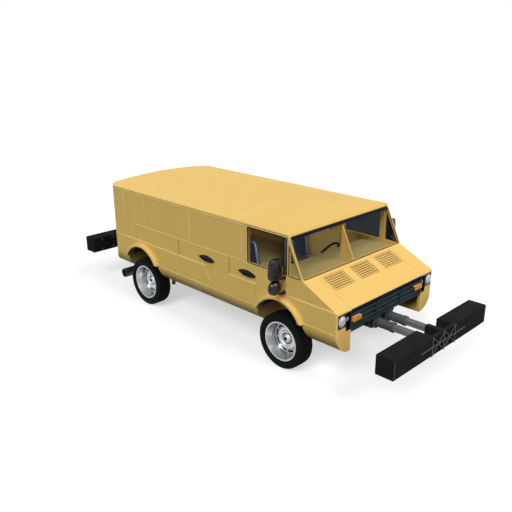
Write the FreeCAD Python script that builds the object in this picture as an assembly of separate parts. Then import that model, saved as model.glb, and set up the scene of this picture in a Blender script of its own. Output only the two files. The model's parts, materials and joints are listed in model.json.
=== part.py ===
"""Wedge-nosed panel van with long-stroke telescopic bumpers.

Millimetres. The front points to -Y, the vehicle's left side is +X and +Z is up.
The origin is on the ground, on the centre plane, at the middle of the overall length.
Each piece is built on the left side where it has a twin, and mirrored to the right.
"""
import FreeCAD, Part
import math
import os

os.makedirs("parts", exist_ok=True)

V = FreeCAD.Vector

# Driving dimensions of the body
BODY_LENGTH = 4300.0
HALF_WIDTH = 945.0
UPPER_INSET = 8.0
WALL = 40.0
BOTTOM_Z = 450.0
TUCK_RADIUS = 240.0
FEATURE_Z = 950.0
BELT_Z = 1180.0
NOSE_TOP_Z = 942.0
HOOD_RUN = 482.0
HOOD_RISE = 234.0
SCREEN_RUN = 236.0
ROOF_SIDE_Z = 1648.0
ROOF_FRONT_RISE = 18.0
ROOF_EDGE_RADIUS = 22.0
ROOF_CROWN = 34.0
ROOF_RAMP = 520.0
ROOF_HEADROOM = 6.0
REAR_CORNER_RADIUS = 170.0
REAR_BOW_RADIUS = 6040.0
NOSE_CORNER_RADIUS = 30.0
GROOVE_DEPTH = 4.0
GROOVE_WIDTH = 6.0

# Running gear
FRONT_OVERHANG = 825.0
REAR_OVERHANG = 825.0
TYRE_RADIUS = 341.0
TYRE_WIDTH = 220.0
RIM_RADIUS = 228.0
RIM_FLANGE = 13.0
BEAD_INSET = 26.0
FLANGE_THICKNESS = 8.0
ARCH_RADIUS = 372.0
ARCH_CENTRE_Z = 510.0
FLARE_WIDTH = 41.0
FLARE_PROUD = 55.0
FLARE_ROUND = 30.0
WELL_WALL = 20.0
WELL_ROOM_WIDTH = 400.0
WELL_INNER_X = HALF_WIDTH - WELL_ROOM_WIDTH

# Bumpers
BUMPER_GAP = 500.0
BUMPER_DEPTH = 230.0
BUMPER_HALF_WIDTH = 950.0
BUMPER_BOTTOM_Z = 466.0
BUMPER_HEIGHT = 228.0
STRUT_X = 122.0
STRUT_TUBE_RADIUS = 55.0
STRUT_TUBE_WALL = 8.0
ROD_CLEARANCE = 1.0
STRUT_LENGTH = 500.0
COLLAR_LENGTH = 40.0

# Clearances
GAP = 5.0
SEAM = 0.8
FIT = 0.3

# Door and panel seams along the body, measured from its nose
PILLAR_AT = 727.0
PILLAR_WIDTH = 26.0
CAB_DOOR_TOP_END = 1440.0
CAB_DOOR_MID_END = 1675.0
CAB_DOOR_LOW_START = 1200.0
CAB_DOOR_LOW_END = 2120.0
SIDE_DOOR_TOP_END = 2410.0
SIDE_DOOR_MID_END = 2640.0
SIDE_DOOR_LOW_END = 3030.0
REAR_DOOR_INSET = 225.0
REAR_DOOR_HALF_WIDTH = HALF_WIDTH - REAR_DOOR_INSET
REAR_DOOR_BOTTOM_Z = 715.0
DOOR_BOTTOM_Z = 690.0
LOW_CORNER_RUN = 140.0
LID_INSET = 245.0
LID_HALF_WIDTH = HALF_WIDTH - LID_INSET
LID_RUN = 460.0
LID_LIP = 8.0
LOAD_FLOOR_Z = 710.0
FLOOR_STEP_AT = 2130.0
FLOOR_THICKNESS = 30.0
FIREWALL_AT = 930.0
FIREWALL_TOP_Z = 1128.0
SILL_WIDTH = 345.0
SILL_INNER_X = HALF_WIDTH - SILL_WIDTH

NOSE_Y = -BODY_LENGTH / 2
TAIL_Y = BODY_LENGTH / 2
SCREEN_BASE_Y = NOSE_Y + HOOD_RUN
SCREEN_BASE_Z = NOSE_TOP_Z + HOOD_RISE
ROOF_FRONT_Y = SCREEN_BASE_Y + SCREEN_RUN
ROOF_FRONT_Z = ROOF_SIDE_Z + ROOF_FRONT_RISE
SCREEN_LEAN = SCREEN_RUN / (ROOF_FRONT_Z - SCREEN_BASE_Z)
WALL_TOP_Z = ROOF_SIDE_Z - GAP
TUCK_Z = BOTTOM_Z + TUCK_RADIUS
CAB_FLOOR_Z = BOTTOM_Z + WALL
DASH_TOP_Z = 1152.0
LOAD_UNDERSIDE_Z = LOAD_FLOOR_Z - FLOOR_THICKNESS
UPPER_HALF_WIDTH = HALF_WIDTH - UPPER_INSET
FRONT_AXLE_Y = NOSE_Y + FRONT_OVERHANG
REAR_AXLE_Y = TAIL_Y - REAR_OVERHANG
AXLE_Z = TYRE_RADIUS
WHEEL_X = HALF_WIDTH - TYRE_WIDTH / 2
WHEEL_DISH = 140.0
HUB_FACE_X = HALF_WIDTH - WHEEL_DISH
KINGPIN_INSET = 65.0
KINGPIN_X = HUB_FACE_X - KINGPIN_INSET
BUMPER_MID_Z = BUMPER_BOTTOM_Z + BUMPER_HEIGHT / 2
BIG = 4000.0


def xy(a, b):
    """Point of the plan plane."""
    return V(a, b, 0)


def xz(a, b):
    """Point of the cross-section plane."""
    return V(a, 0, b)


def yz(a, b):
    """Point of the side plane."""
    return V(0, a, b)


def face(plane, start, *steps):
    """Closed face from lines (a point) and arcs (a middle point and an end point)."""
    edges = []
    here = start
    for step in steps + (start,):
        if isinstance(step[0], tuple):
            middle, end = step
            edges.append(Part.Arc(plane(*here), plane(*middle), plane(*end)).toShape())
        else:
            end = step
            if plane(*here).distanceToPoint(plane(*end)) > 1e-6:
                edges.append(Part.LineSegment(plane(*here), plane(*end)).toShape())
        here = end
    return Part.Face(Part.Wire(edges))


def prism_x(x0, x1, start, *steps):
    """Side outline pushed across the vehicle from x0 to x1."""
    shape = face(yz, start, *steps)
    shape.translate(V(x0, 0, 0))
    return shape.extrude(V(x1 - x0, 0, 0))


def prism_y(y0, y1, start, *steps):
    """Cross-section pushed along the vehicle from y0 to y1."""
    shape = face(xz, start, *steps)
    shape.translate(V(0, y0, 0))
    return shape.extrude(V(0, y1 - y0, 0))


def prism_z(z0, z1, start, *steps):
    """Plan outline pushed up from z0 to z1."""
    shape = face(xy, start, *steps)
    shape.translate(V(0, 0, z0))
    return shape.extrude(V(0, 0, z1 - z0))


def rounded(a0, a1, b0, b1, radius):
    """Start point and steps of a rectangle with round corners."""
    cut = radius * (1 - math.sqrt(0.5))
    return [(a0 + radius, b0), (a1 - radius, b0), ((a1 - cut, b0 + cut), (a1, b0 + radius)),
            (a1, b1 - radius), ((a1 - cut, b1 - cut), (a1 - radius, b1)),
            (a0 + radius, b1), ((a0 + cut, b1 - cut), (a0, b1 - radius)),
            (a0, b0 + radius), ((a0 + cut, b0 + cut), (a0 + radius, b0))]


def block(x0, x1, y0, y1, z0, z1):
    """Box between two corners."""
    return Part.makeBox(x1 - x0, y1 - y0, z1 - z0, V(x0, y0, z0))


def cylinder(radius, start, direction, length):
    """Cylinder from a start point along a direction."""
    return Part.makeCylinder(radius, length, start, direction)


def fuse(shapes):
    """One solid from several that touch or overlap."""
    result = shapes[0]
    if len(shapes) > 1:
        result = result.multiFuse(shapes[1:])
    return result.removeSplitter()


def mirrored(shape):
    """Twin on the other side of the vehicle."""
    return shape.mirror(V(0, 0, 0), V(1, 0, 0))


def pair(shape):
    """Left and right twin as two separate solids."""
    return Part.makeCompound([shape, mirrored(shape)])


def turned_end(shape):
    """Copy for the other end of the vehicle, turned half a turn about the vertical."""
    copy = shape.copy()
    copy.rotate(V(0, 0, 0), V(0, 0, 1), 180)
    return copy


def offset_line(first, second, inset):
    """The line through two points, moved to its left by inset, as a point and a direction."""
    run = (second[0] - first[0], second[1] - first[1])
    length = math.hypot(*run)
    normal = (-run[1] / length, run[0] / length)
    return (first[0] + normal[0] * inset, first[1] + normal[1] * inset), run


def inset_polygon(points, inset):
    """Polygon whose sides lie inset inside those of a polygon that runs anticlockwise."""
    lines = [offset_line(points[i], points[(i + 1) % len(points)], inset) for i in range(len(points))]
    corners = []
    for (p, r), (q, s) in zip([lines[-1]] + lines[:-1], lines):
        share = ((q[0] - p[0]) * s[1] - (q[1] - p[1]) * s[0]) / (r[0] * s[1] - r[1] * s[0])
        corners.append((p[0] + share * r[0], p[1] + share * r[1]))
    return corners


# The body's outer form


def symmetric(start, right, crown=None):
    """Steps of a closed outline from its right half; crown is the top of the arc that joins the halves."""
    ends = [start] + [step[1] if isinstance(step[0], tuple) else step for step in right]
    far = (-ends[-1][0], ends[-1][1])
    steps = list(right) + [(crown, far) if crown else far]
    for step, end in zip(reversed(right), reversed(ends[:-1])):
        left_end = (-end[0], end[1])
        if isinstance(step[0], tuple):
            left_end = ((-step[0][0], step[0][1]), left_end)
        steps.append(left_end)
    return steps


def lower_side(inset):
    """Right half of the cross-section up to the ledge: tucked-under sill and upright side."""
    tuck = TUCK_RADIUS - inset
    tuck_x = HALF_WIDTH - TUCK_RADIUS
    diagonal = math.sqrt(0.5)
    return [(tuck_x, TUCK_Z - tuck),
            ((tuck_x + tuck * diagonal, TUCK_Z - tuck * diagonal), (HALF_WIDTH - inset, TUCK_Z)),
            (HALF_WIDTH - inset, FEATURE_Z),
            (UPPER_HALF_WIDTH - inset, FEATURE_Z)]


def section_prism(inset):
    """Cross-section: tucked-under sills, upright sides with a ledge, crowned roof."""
    upper = UPPER_HALF_WIDTH - inset
    edge = ROOF_EDGE_RADIUS - inset
    turn = edge * (1 - math.sqrt(0.5))
    roof_z = ROOF_SIDE_Z + ROOF_EDGE_RADIUS - inset
    right = lower_side(inset) + [(upper, roof_z - edge), ((upper - turn, roof_z - turn), (upper - edge, roof_z))]
    start = (0, BOTTOM_Z + inset)
    return prism_y(-BIG, BIG, start, *symmetric(start, right, (0, roof_z + ROOF_CROWN)))


def screen_y(z):
    """Y of the windscreen's outer plane at a height."""
    return SCREEN_BASE_Y + SCREEN_LEAN * (z - SCREEN_BASE_Z)


def side_prism(inset, top, roof_points):
    """Side outline moved inwards by inset: upright nose, sloping hood, steep windscreen, given roof."""
    outline = [(TAIL_Y + REAR_CORNER_RADIUS, 0), (TAIL_Y + REAR_CORNER_RADIUS, top)] + roof_points
    outline += [(SCREEN_BASE_Y, SCREEN_BASE_Z), (NOSE_Y, NOSE_TOP_Z), (NOSE_Y, 0)]
    points = inset_polygon(outline, inset)
    return prism_x(-BIG, BIG, points[0], *points[1:])


def plan_prism(inset):
    """Plan outline: square nose, straight sides, bowed tail with large corner radii."""
    half = HALF_WIDTH - inset
    nose_radius = max(NOSE_CORNER_RADIUS - inset, 2)
    nose = NOSE_Y + inset
    corner_x = HALF_WIDTH - REAR_CORNER_RADIUS
    bow_centre = TAIL_Y - REAR_BOW_RADIUS
    reach = REAR_BOW_RADIUS - REAR_CORNER_RADIUS
    corner_y = bow_centre + math.sqrt(reach ** 2 - corner_x ** 2)
    corner = REAR_CORNER_RADIUS - inset
    bow = REAR_BOW_RADIUS - inset
    meet = (corner_x * bow / reach, bow_centre + (corner_y - bow_centre) * bow / reach)
    turn = math.atan2(corner_y - bow_centre, corner_x) / 2
    corner_middle = (corner_x + corner * math.cos(turn), corner_y + corner * math.sin(turn))
    cut = nose_radius * (1 - math.sqrt(0.5))
    right = [(half - nose_radius, nose), ((half - cut, nose + cut), (half, nose + nose_radius)),
             (half, corner_y), (corner_middle, meet)]
    start = (0, nose)
    return prism_z(0, BIG, start, *symmetric(start, right, (0, bow_centre + bow)))


def body_volume(inset):
    """The closed body, moved inwards by inset."""
    top = ROOF_SIDE_Z + ROOF_EDGE_RADIUS + ROOF_CROWN + ROOF_HEADROOM
    roof_points = [(ROOF_FRONT_Y + ROOF_RAMP, top), (ROOF_FRONT_Y, ROOF_FRONT_Z)]
    return section_prism(inset).common(side_prism(inset, top, roof_points)).common(plan_prism(inset))


def room_volume(inset):
    """The room inside walls of a thickness, open upwards."""
    start = (0, BOTTOM_Z + inset)
    section = prism_y(-BIG, BIG, start, *symmetric(start, lower_side(inset) + [(UPPER_HALF_WIDTH - inset, BIG)]))
    side = side_prism(inset, BIG, [(screen_y(BIG), BIG)])
    return section.common(side).common(plan_prism(inset))


OUTER = body_volume(0)
ROOM = room_volume(WALL)
WALLS = OUTER.common(block(-BIG, BIG, -BIG, BIG, 0, WALL_TOP_Z)).cut(ROOM)
GROOVE_SKIN = OUTER.cut(body_volume(GROOVE_DEPTH))


def at(distance):
    """Y of a distance behind the nose."""
    return NOSE_Y + distance


def arch_slot(radius, x0, x1, axle_y):
    """Wheel arch form: a half round on straight sides that run down past the body."""
    return prism_x(x0, x1, (axle_y - radius, 0), (axle_y + radius, 0), (axle_y + radius, ARCH_CENTRE_Z),
                   ((axle_y, ARCH_CENTRE_Z + radius), (axle_y - radius, ARCH_CENTRE_Z)))


def wheel_room(axle_y):
    """Room for a left wheel, from the inner wall of its well to outside the body."""
    return arch_slot(ARCH_RADIUS, WELL_INNER_X, BIG, axle_y)


def well_block(axle_y, clearance=0.0):
    """A left wheel's room with the walls of its well round it."""
    return arch_slot(ARCH_RADIUS + WELL_WALL + clearance, WELL_INNER_X - WELL_WALL, HALF_WIDTH - WALL, axle_y)


def wheel_well(axle_y):
    """Left wheel well: inner wall and a half-round hood that meets the body side."""
    return well_block(axle_y).cut(wheel_room(axle_y)).common(OUTER)


def flare(axle_y):
    """Rounded lip round a left wheel arch, proud of the body side."""
    root = HALF_WIDTH - WALL / 2
    lip_x = HALF_WIDTH + FLARE_PROUD
    outer = ARCH_RADIUS + FLARE_WIDTH
    turn = FLARE_ROUND * (1 - math.sqrt(0.5))
    ring = face(xz, (root, ARCH_RADIUS), (lip_x, ARCH_RADIUS), (lip_x, outer - FLARE_ROUND),
                ((lip_x - turn, outer - turn), (lip_x - FLARE_ROUND, outer)), (root, outer))
    ring = ring.revolve(V(0, 0, 0), V(1, 0, 0), 360)
    ring.translate(V(0, axle_y, ARCH_CENTRE_Z))
    return ring.cut(block(0, BIG, -BIG, BIG, -BIG, TUCK_Z))


def cab_door_zone(gap):
    """Stepped side outline of a cab door, moved inwards by gap."""
    outline = [(at(PILLAR_AT), FEATURE_Z), (at(CAB_DOOR_LOW_START), FEATURE_Z),
               (at(CAB_DOOR_LOW_START), DOOR_BOTTOM_Z), (at(CAB_DOOR_LOW_END) - LOW_CORNER_RUN, DOOR_BOTTOM_Z),
               (at(CAB_DOOR_LOW_END), FEATURE_Z), (at(CAB_DOOR_MID_END), FEATURE_Z),
               (at(CAB_DOOR_MID_END), BELT_Z), (at(CAB_DOOR_TOP_END), BELT_Z),
               (at(CAB_DOOR_TOP_END), WALL_TOP_Z), (at(PILLAR_AT), WALL_TOP_Z)]
    points = inset_polygon(outline, gap)
    return prism_x(0, BIG, points[0], *points[1:])


def side_door_zone(gap):
    """Stepped side outline of a side door, moved inwards by gap."""
    outline = [(at(CAB_DOOR_MID_END), FEATURE_Z), (at(CAB_DOOR_LOW_END), FEATURE_Z),
               (at(CAB_DOOR_LOW_END) - LOW_CORNER_RUN, DOOR_BOTTOM_Z), (at(SIDE_DOOR_LOW_END), DOOR_BOTTOM_Z),
               (at(SIDE_DOOR_LOW_END), FEATURE_Z), (at(SIDE_DOOR_MID_END), FEATURE_Z),
               (at(SIDE_DOOR_MID_END), BELT_Z), (at(SIDE_DOOR_TOP_END), BELT_Z),
               (at(SIDE_DOOR_TOP_END), WALL_TOP_Z), (at(CAB_DOOR_TOP_END), WALL_TOP_Z),
               (at(CAB_DOOR_TOP_END), BELT_Z), (at(CAB_DOOR_MID_END), BELT_Z)]
    points = inset_polygon(outline, gap)
    return prism_x(0, BIG, points[0], *points[1:])


WINDOW_FRONT_FRAME = 50.0
WINDOW_REAR_FRAME = 95.0
WINDOW_SILL = 8.0
WINDOW_TOP_FRAME = 24.0
QUARTER_POST = 30.0
SCREEN_SIDE_POST = 18.0
SCREEN_LOW_FRAME = 12.0
SCREEN_HEADER = 36.0
SCREEN_CUT = 60.0
SCREEN_HALF_WIDTH = UPPER_HALF_WIDTH - SCREEN_SIDE_POST


def window_zone(margin):
    """Outline of the cab door window, moved inwards by margin."""
    front = at(PILLAR_AT) + WINDOW_FRONT_FRAME
    back = at(CAB_DOOR_TOP_END) - WINDOW_REAR_FRAME
    low = BELT_Z + WINDOW_SILL
    high = ROOF_SIDE_Z - WINDOW_TOP_FRAME
    points = inset_polygon([(front, low), (back, low), (back, high), (front, high)], margin)
    return prism_x(0, BIG, points[0], *points[1:])


def quarter_window_zone(margin):
    """Outline of the triangular window ahead of the front pillar, moved inwards by margin."""
    low = BELT_Z + WINDOW_SILL
    foot = screen_y(low) + QUARTER_POST
    back = at(PILLAR_AT) - PILLAR_WIDTH
    points = inset_polygon([(foot, low), (back, low), (back, low + (back - foot) / SCREEN_LEAN)], margin)
    return prism_x(0, BIG, points[0], *points[1:])


def screen_zone(margin):
    """Slanted slab of the windscreen opening, moved inwards by margin."""
    low = SCREEN_BASE_Z + SCREEN_LOW_FRAME + margin
    high = ROOF_FRONT_Z - SCREEN_HEADER - margin
    front = SCREEN_BASE_Y - SCREEN_CUT
    across = SCREEN_HALF_WIDTH - margin
    return prism_x(-across, across, (front, low), (screen_y(low) + SCREEN_CUT, low),
                   (screen_y(high) + SCREEN_CUT, high), (front, high))


# Hinges: a knuckle on the body and one on the moving piece, end to end on one axis

HINGE_RADIUS = 9.0
HINGE_LENGTH = 36.0
HINGE_ARM = 24.0


def hinge(place, towards, outwards):
    """Body knuckle, moving knuckle and their two notches, on an axis through place."""
    axis = towards.cross(outwards)
    turn = FreeCAD.Placement(place, FreeCAD.Rotation(towards, outwards, axis, "XYZ"))
    room = HINGE_RADIUS + 2
    fixed = fuse([cylinder(HINGE_RADIUS, V(0, 0, -HINGE_LENGTH), V(0, 0, 1), HINGE_LENGTH - FIT / 2),
                  block(-HINGE_ARM, 0, -HINGE_RADIUS, 0, -HINGE_LENGTH, -FIT / 2)])
    moving = fuse([cylinder(HINGE_RADIUS, V(0, 0, FIT / 2), V(0, 0, 1), HINGE_LENGTH - FIT / 2),
                   block(0, HINGE_ARM, -HINGE_RADIUS, 0, FIT / 2, HINGE_LENGTH)])
    notch_moving = cylinder(room, V(0, 0, -HINGE_LENGTH - 2), V(0, 0, 1), HINGE_LENGTH + 2)
    notch_fixed = cylinder(room, V(0, 0, 0), V(0, 0, 1), HINGE_LENGTH + 2)
    shapes = [fixed, moving, notch_moving, notch_fixed]
    for shape in shapes:
        shape.Placement = turn
    return shapes


CAB_HINGE_HEIGHTS = (FEATURE_Z + 60, BELT_Z - 50)
CAB_HINGES = [hinge(V(UPPER_HALF_WIDTH, at(PILLAR_AT), z), V(0, 1, 0), V(1, 0, 0)) for z in CAB_HINGE_HEIGHTS]

BOW_CENTRE_Y = TAIL_Y - REAR_BOW_RADIUS


def tail_y(x):
    """Y of the outer tail surface at x, as long as it is on the corner or the bow."""
    corner_x = HALF_WIDTH - REAR_CORNER_RADIUS
    reach = REAR_BOW_RADIUS - REAR_CORNER_RADIUS
    corner_y = BOW_CENTRE_Y + math.sqrt(reach ** 2 - corner_x ** 2)
    if x > corner_x * REAR_BOW_RADIUS / reach:
        return corner_y + math.sqrt(REAR_CORNER_RADIUS ** 2 - (x - corner_x) ** 2)
    return BOW_CENTRE_Y + math.sqrt(REAR_BOW_RADIUS ** 2 - x ** 2)


REAR_HINGE = V(REAR_DOOR_HALF_WIDTH, tail_y(REAR_DOOR_HALF_WIDTH), 0)
REAR_HINGE_HEIGHTS = (REAR_DOOR_BOTTOM_Z + 135, ROOF_SIDE_Z - 168)
REAR_HINGES = [hinge(REAR_HINGE + V(0, 0, z), V(-1, 0, 0), V(0, 1, 0)) for z in REAR_HINGE_HEIGHTS]

HOOD_SLOPE = math.atan2(HOOD_RISE, HOOD_RUN)
LID_HINGE_Y = NOSE_Y + LID_RUN
LID_HINGE_Z = NOSE_TOP_Z + HOOD_RISE / HOOD_RUN * LID_RUN
LID_FORWARD = V(0, -math.cos(HOOD_SLOPE), -math.sin(HOOD_SLOPE))
LID_NORMAL = V(0, -math.sin(HOOD_SLOPE), math.cos(HOOD_SLOPE))
LID_HINGE_X = 480.0
LID_HINGES = [hinge(V(x, LID_HINGE_Y, LID_HINGE_Z), LID_FORWARD, LID_NORMAL) for x in (-LID_HINGE_X, LID_HINGE_X)]


def add_fixed_knuckles(shape, hinges):
    """Body side of some hinges: room for the moving knuckles, then the fixed ones."""
    for fixed, moving, notch_moving, notch_fixed in hinges:
        shape = shape.cut(notch_fixed).fuse(fixed)
    return shape.removeSplitter()


def add_moving_knuckles(shape, hinges):
    """Moving side of some hinges: room for the fixed knuckles, then the moving ones."""
    for fixed, moving, notch_moving, notch_fixed in hinges:
        shape = shape.cut(notch_moving).fuse(moving)
    return shape.removeSplitter()


# Body panels


def groove(y0, y1, z0, z1):
    """Shallow press line in the left side, as a cutter."""
    return GROOVE_SKIN.common(block(0, BIG, y0, y1, z0, z1))


def fender():
    """Left front fender: body side, hood shoulder and lamp surround in one."""
    side = WALLS.common(fuse([block(0, BIG, NOSE_Y - 1, at(PILLAR_AT) - PILLAR_WIDTH, TUCK_Z, BELT_Z),
                              block(0, BIG, NOSE_Y - 1, at(CAB_DOOR_LOW_START), TUCK_Z, FEATURE_Z)]))
    side = side.common(block(LID_HALF_WIDTH, BIG, -BIG, BIG, 0, BIG))
    side = side.fuse(flare(FRONT_AXLE_Y))
    side = side.cut(arch_slot(ARCH_RADIUS, 0, BIG, FRONT_AXLE_Y))
    return side.cut(lamp_outline(0, NOSE_Y - 1, NOSE_Y + LAMP_DEPTH)).removeSplitter()


LAMP_OUTER_INSET = 16.0
LAMP_OUTER_X = HALF_WIDTH - LAMP_OUTER_INSET
LAMP_STEP_INSET = 159.0
LAMP_STEP_X = HALF_WIDTH - LAMP_STEP_INSET
LAMP_SHELF_Z = 760.0
LAMP_LOW_Z = 702.0
LAMP_HIGH_Z = 926.0
LAMP_DEPTH = 110.0
LENS_INSET = 86.0
LENS_X = HALF_WIDTH - LENS_INSET
LENS_Z = 843.0
LENS_RADIUS = 66.0
LENS_THICKNESS = 14.0
BOWL_LIP = 8.0
BOWL_END_RADIUS = 34.0
BOWL_DEPTH = 60.0
SIDE_LAMP_INSET = 199.0
SIDE_LAMP_X = HALF_WIDTH - SIDE_LAMP_INSET
SIDE_LAMP_Z = 835.0
SIDE_LAMP_RADIUS = 26.0


def lamp_outline(inset, y0, y1):
    """Stepped outline of the left lamp unit, moved inwards by inset, pushed from y0 to y1."""
    outline = [(LID_HALF_WIDTH, LAMP_LOW_Z), (LAMP_STEP_X, LAMP_LOW_Z), (LAMP_STEP_X + 12, LAMP_SHELF_Z),
               (LAMP_OUTER_X, LAMP_SHELF_Z), (LAMP_OUTER_X, LAMP_HIGH_Z), (LID_HALF_WIDTH, LAMP_HIGH_Z)]
    points = inset_polygon(outline, inset)
    return prism_y(y0, y1, points[0], *points[1:])


def lens_disc(inset, y0, y1):
    """Round of the left headlamp lens, smaller by inset, from y0 to y1."""
    return cylinder(LENS_RADIUS - inset, V(LENS_X, y0, LENS_Z), V(0, 1, 0), y1 - y0)


def headlamp():
    """Left lamp unit: a dark housing with a tapered bowl behind the lens and a pocket for the side lamp."""
    housing = lamp_outline(FIT, NOSE_Y + 3, NOSE_Y + LAMP_DEPTH)
    seat = lens_disc(0, NOSE_Y, NOSE_Y + LENS_THICKNESS + 3)
    bowl = Part.makeCone(LENS_RADIUS - BOWL_LIP, BOWL_END_RADIUS, BOWL_DEPTH, V(LENS_X, NOSE_Y + LENS_THICKNESS, LENS_Z),
                         V(0, 1, 0))
    pocket = prism_y(NOSE_Y, NOSE_Y + BOWL_DEPTH, *rounded(LID_HALF_WIDTH + 14, LAMP_STEP_X - 6, LAMP_LOW_Z + 14,
                                                           LAMP_HIGH_Z - 12, 12))
    return housing.cut(seat).cut(bowl).cut(pocket)


def lamp_lens():
    """Left lens over the bowl, and the round side lamp in its pocket."""
    lens = lens_disc(FIT, NOSE_Y + 1, NOSE_Y + LENS_THICKNESS)
    back = NOSE_Y + BOWL_DEPTH
    side_lamp = Part.makeCone(SIDE_LAMP_RADIUS * 0.7, SIDE_LAMP_RADIUS, 40, V(SIDE_LAMP_X, back, SIDE_LAMP_Z),
                              V(0, -1, 0))
    return Part.makeCompound([lens, side_lamp])


def cab_frame():
    """Cowl, windscreen frame and front pillars in one."""
    ring = WALLS.common(block(-BIG, BIG, LID_HINGE_Y + GAP / 2, at(PILLAR_AT), FEATURE_Z, BIG))
    back = at(PILLAR_AT) - PILLAR_WIDTH
    below_screen = block(-BIG, BIG, SCREEN_BASE_Y + WALL, back, 0, BELT_Z)
    shoulder = block(LID_HALF_WIDTH, BIG, -BIG, back, 0, BELT_Z)
    ring = ring.cut(below_screen).cut(both(shoulder))
    ring = ring.cut(screen_zone(0))
    return ring.cut(both(quarter_window_zone(0)))


WEB_HALF_WIDTH = 11.0
WEB_REAR_AT = 702.0
WEB_SHOULDER_Z = 1523.0
WEB_POST_DEPTH = 26.0
INNER_MIRROR_AT = 786.0
INNER_MIRROR_Z = 1556.0
INNER_MIRROR_ARM = 8.0


def central_web():
    """Upright web behind the middle of the windscreen, with a slim post above it."""
    inset = WALL / 2 / math.cos(math.atan(SCREEN_LEAN))
    low = DASH_TOP_Z
    high = WALL_TOP_Z
    rear = at(WEB_REAR_AT)
    return prism_x(-WEB_HALF_WIDTH, WEB_HALF_WIDTH, (screen_y(low) + inset, low), (rear, low),
                   (rear, WEB_SHOULDER_Z), (screen_y(WEB_SHOULDER_Z) + inset + WEB_POST_DEPTH, WEB_SHOULDER_Z + 16),
                   (screen_y(high) + inset + WEB_POST_DEPTH, high), (screen_y(high) + inset, high))


def inner_mirror():
    """Rear-view mirror on an arm from the windscreen header."""
    glass = prism_y(at(INNER_MIRROR_AT), at(INNER_MIRROR_AT) + 22, *rounded(-100, 100, INNER_MIRROR_Z - 48,
                                                                            INNER_MIRROR_Z + 48, 22))
    start = V(0, screen_y(WALL_TOP_Z) + WALL, WALL_TOP_Z - INNER_MIRROR_ARM)
    arm = V(0, at(INNER_MIRROR_AT) + 11, INNER_MIRROR_Z + 20) - start
    stem = cylinder(INNER_MIRROR_ARM, start - arm * 0.2, arm, arm.Length * 1.2)
    return glass.fuse(stem.common(block(-BIG, BIG, -BIG, BIG, 0, WALL_TOP_Z)))


B_POST_AT = 1390.0
B_POST_WIDTH = 70.0
B_POST_DEPTH = 42.0


def b_post():
    """Left post behind the cab door, from the sill to the roof."""
    outer = UPPER_HALF_WIDTH - WALL - GAP
    return ROOM.common(block(outer - B_POST_DEPTH, outer, at(B_POST_AT), at(B_POST_AT) + B_POST_WIDTH, 0, WALL_TOP_Z))


def roof():
    """Crowned roof panel with its lining, rounded edges and three cross grooves."""
    panel = OUTER.common(block(-BIG, BIG, -BIG, BIG, WALL_TOP_Z, BIG))
    for back in ROOF_GROOVES_FROM_TAIL:
        y = TAIL_Y - back
        panel = panel.cut(GROOVE_SKIN.common(block(-BIG, BIG, y, y + GROOVE_WIDTH, ROOF_SIDE_Z, BIG)))
    return panel


ROOF_GROOVES_FROM_TAIL = (2663.0, 1643.0, 673.0)
LOUVRE_X = 480.0
LOUVRE_FRONT_AT = 276.0
LOUVRE_PITCH = 28.0
LOUVRE_SLOT = 11.0
LOUVRE_HALF_WIDTH = 155.0
LOUVRE_ROWS = 6
LOUVRE_BORDER = 17.0


def louvre_cutter():
    """Slots and shallow frame groove of the three louvre banks, drawn in plan."""
    slots = []
    half = LOUVRE_HALF_WIDTH + LOUVRE_BORDER
    front = at(LOUVRE_FRONT_AT)
    back = front + LOUVRE_PITCH * (LOUVRE_ROWS - 1) + LOUVRE_SLOT
    skin = GROOVE_SKIN.common(block(-LID_HALF_WIDTH, LID_HALF_WIDTH, NOSE_Y + LID_LIP, SCREEN_BASE_Y, 0, BIG))
    for x in (-LOUVRE_X, 0, LOUVRE_X):
        for row in range(LOUVRE_ROWS):
            y = front + LOUVRE_PITCH * row
            slots.append(block(x - LOUVRE_HALF_WIDTH, x + LOUVRE_HALF_WIDTH, y, y + LOUVRE_SLOT, 0, BIG))
        border = block(x - half, x + half, front - LOUVRE_BORDER, back + LOUVRE_BORDER, 0, BIG)
        inside = block(x - half + GROOVE_WIDTH, x + half - GROOVE_WIDTH, front - LOUVRE_BORDER + GROOVE_WIDTH,
                       back + LOUVRE_BORDER - GROOVE_WIDTH, 0, BIG)
        slots.append(skin.common(border.cut(inside)))
    return Part.makeCompound(slots)


def hood_lid():
    """Hood lid with three banks of louvre slots."""
    lid = OUTER.cut(ROOM).common(block(-LID_HALF_WIDTH + GAP, LID_HALF_WIDTH - GAP, NOSE_Y - 1,
                                       LID_HINGE_Y - GAP / 2, NOSE_TOP_Z - LID_LIP, BIG))
    return add_moving_knuckles(lid.cut(louvre_cutter()), LID_HINGES)


def cab_door():
    """Left cab door as one thick panel with its window opening."""
    door = WALLS.common(cab_door_zone(GAP)).common(block(UPPER_HALF_WIDTH - WALL, BIG, -BIG, BIG, 0, BIG))
    door = door.cut(arch_slot(ARCH_RADIUS + FLARE_WIDTH + GAP, 0, BIG, FRONT_AXLE_Y))
    return add_moving_knuckles(door.cut(window_zone(0)), CAB_HINGES)


def side_door():
    """Left side door as one thick closed panel."""
    door = WALLS.common(side_door_zone(SEAM / 2)).common(block(UPPER_HALF_WIDTH - WALL, BIG, -BIG, BIG, 0, BIG))
    return door.cut(arch_slot(ARCH_RADIUS + FLARE_WIDTH + SEAM, 0, BIG, REAR_AXLE_Y))


PRESS_LINES_FROM_TAIL = (925.0, 680.0, 430.0)


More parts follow.
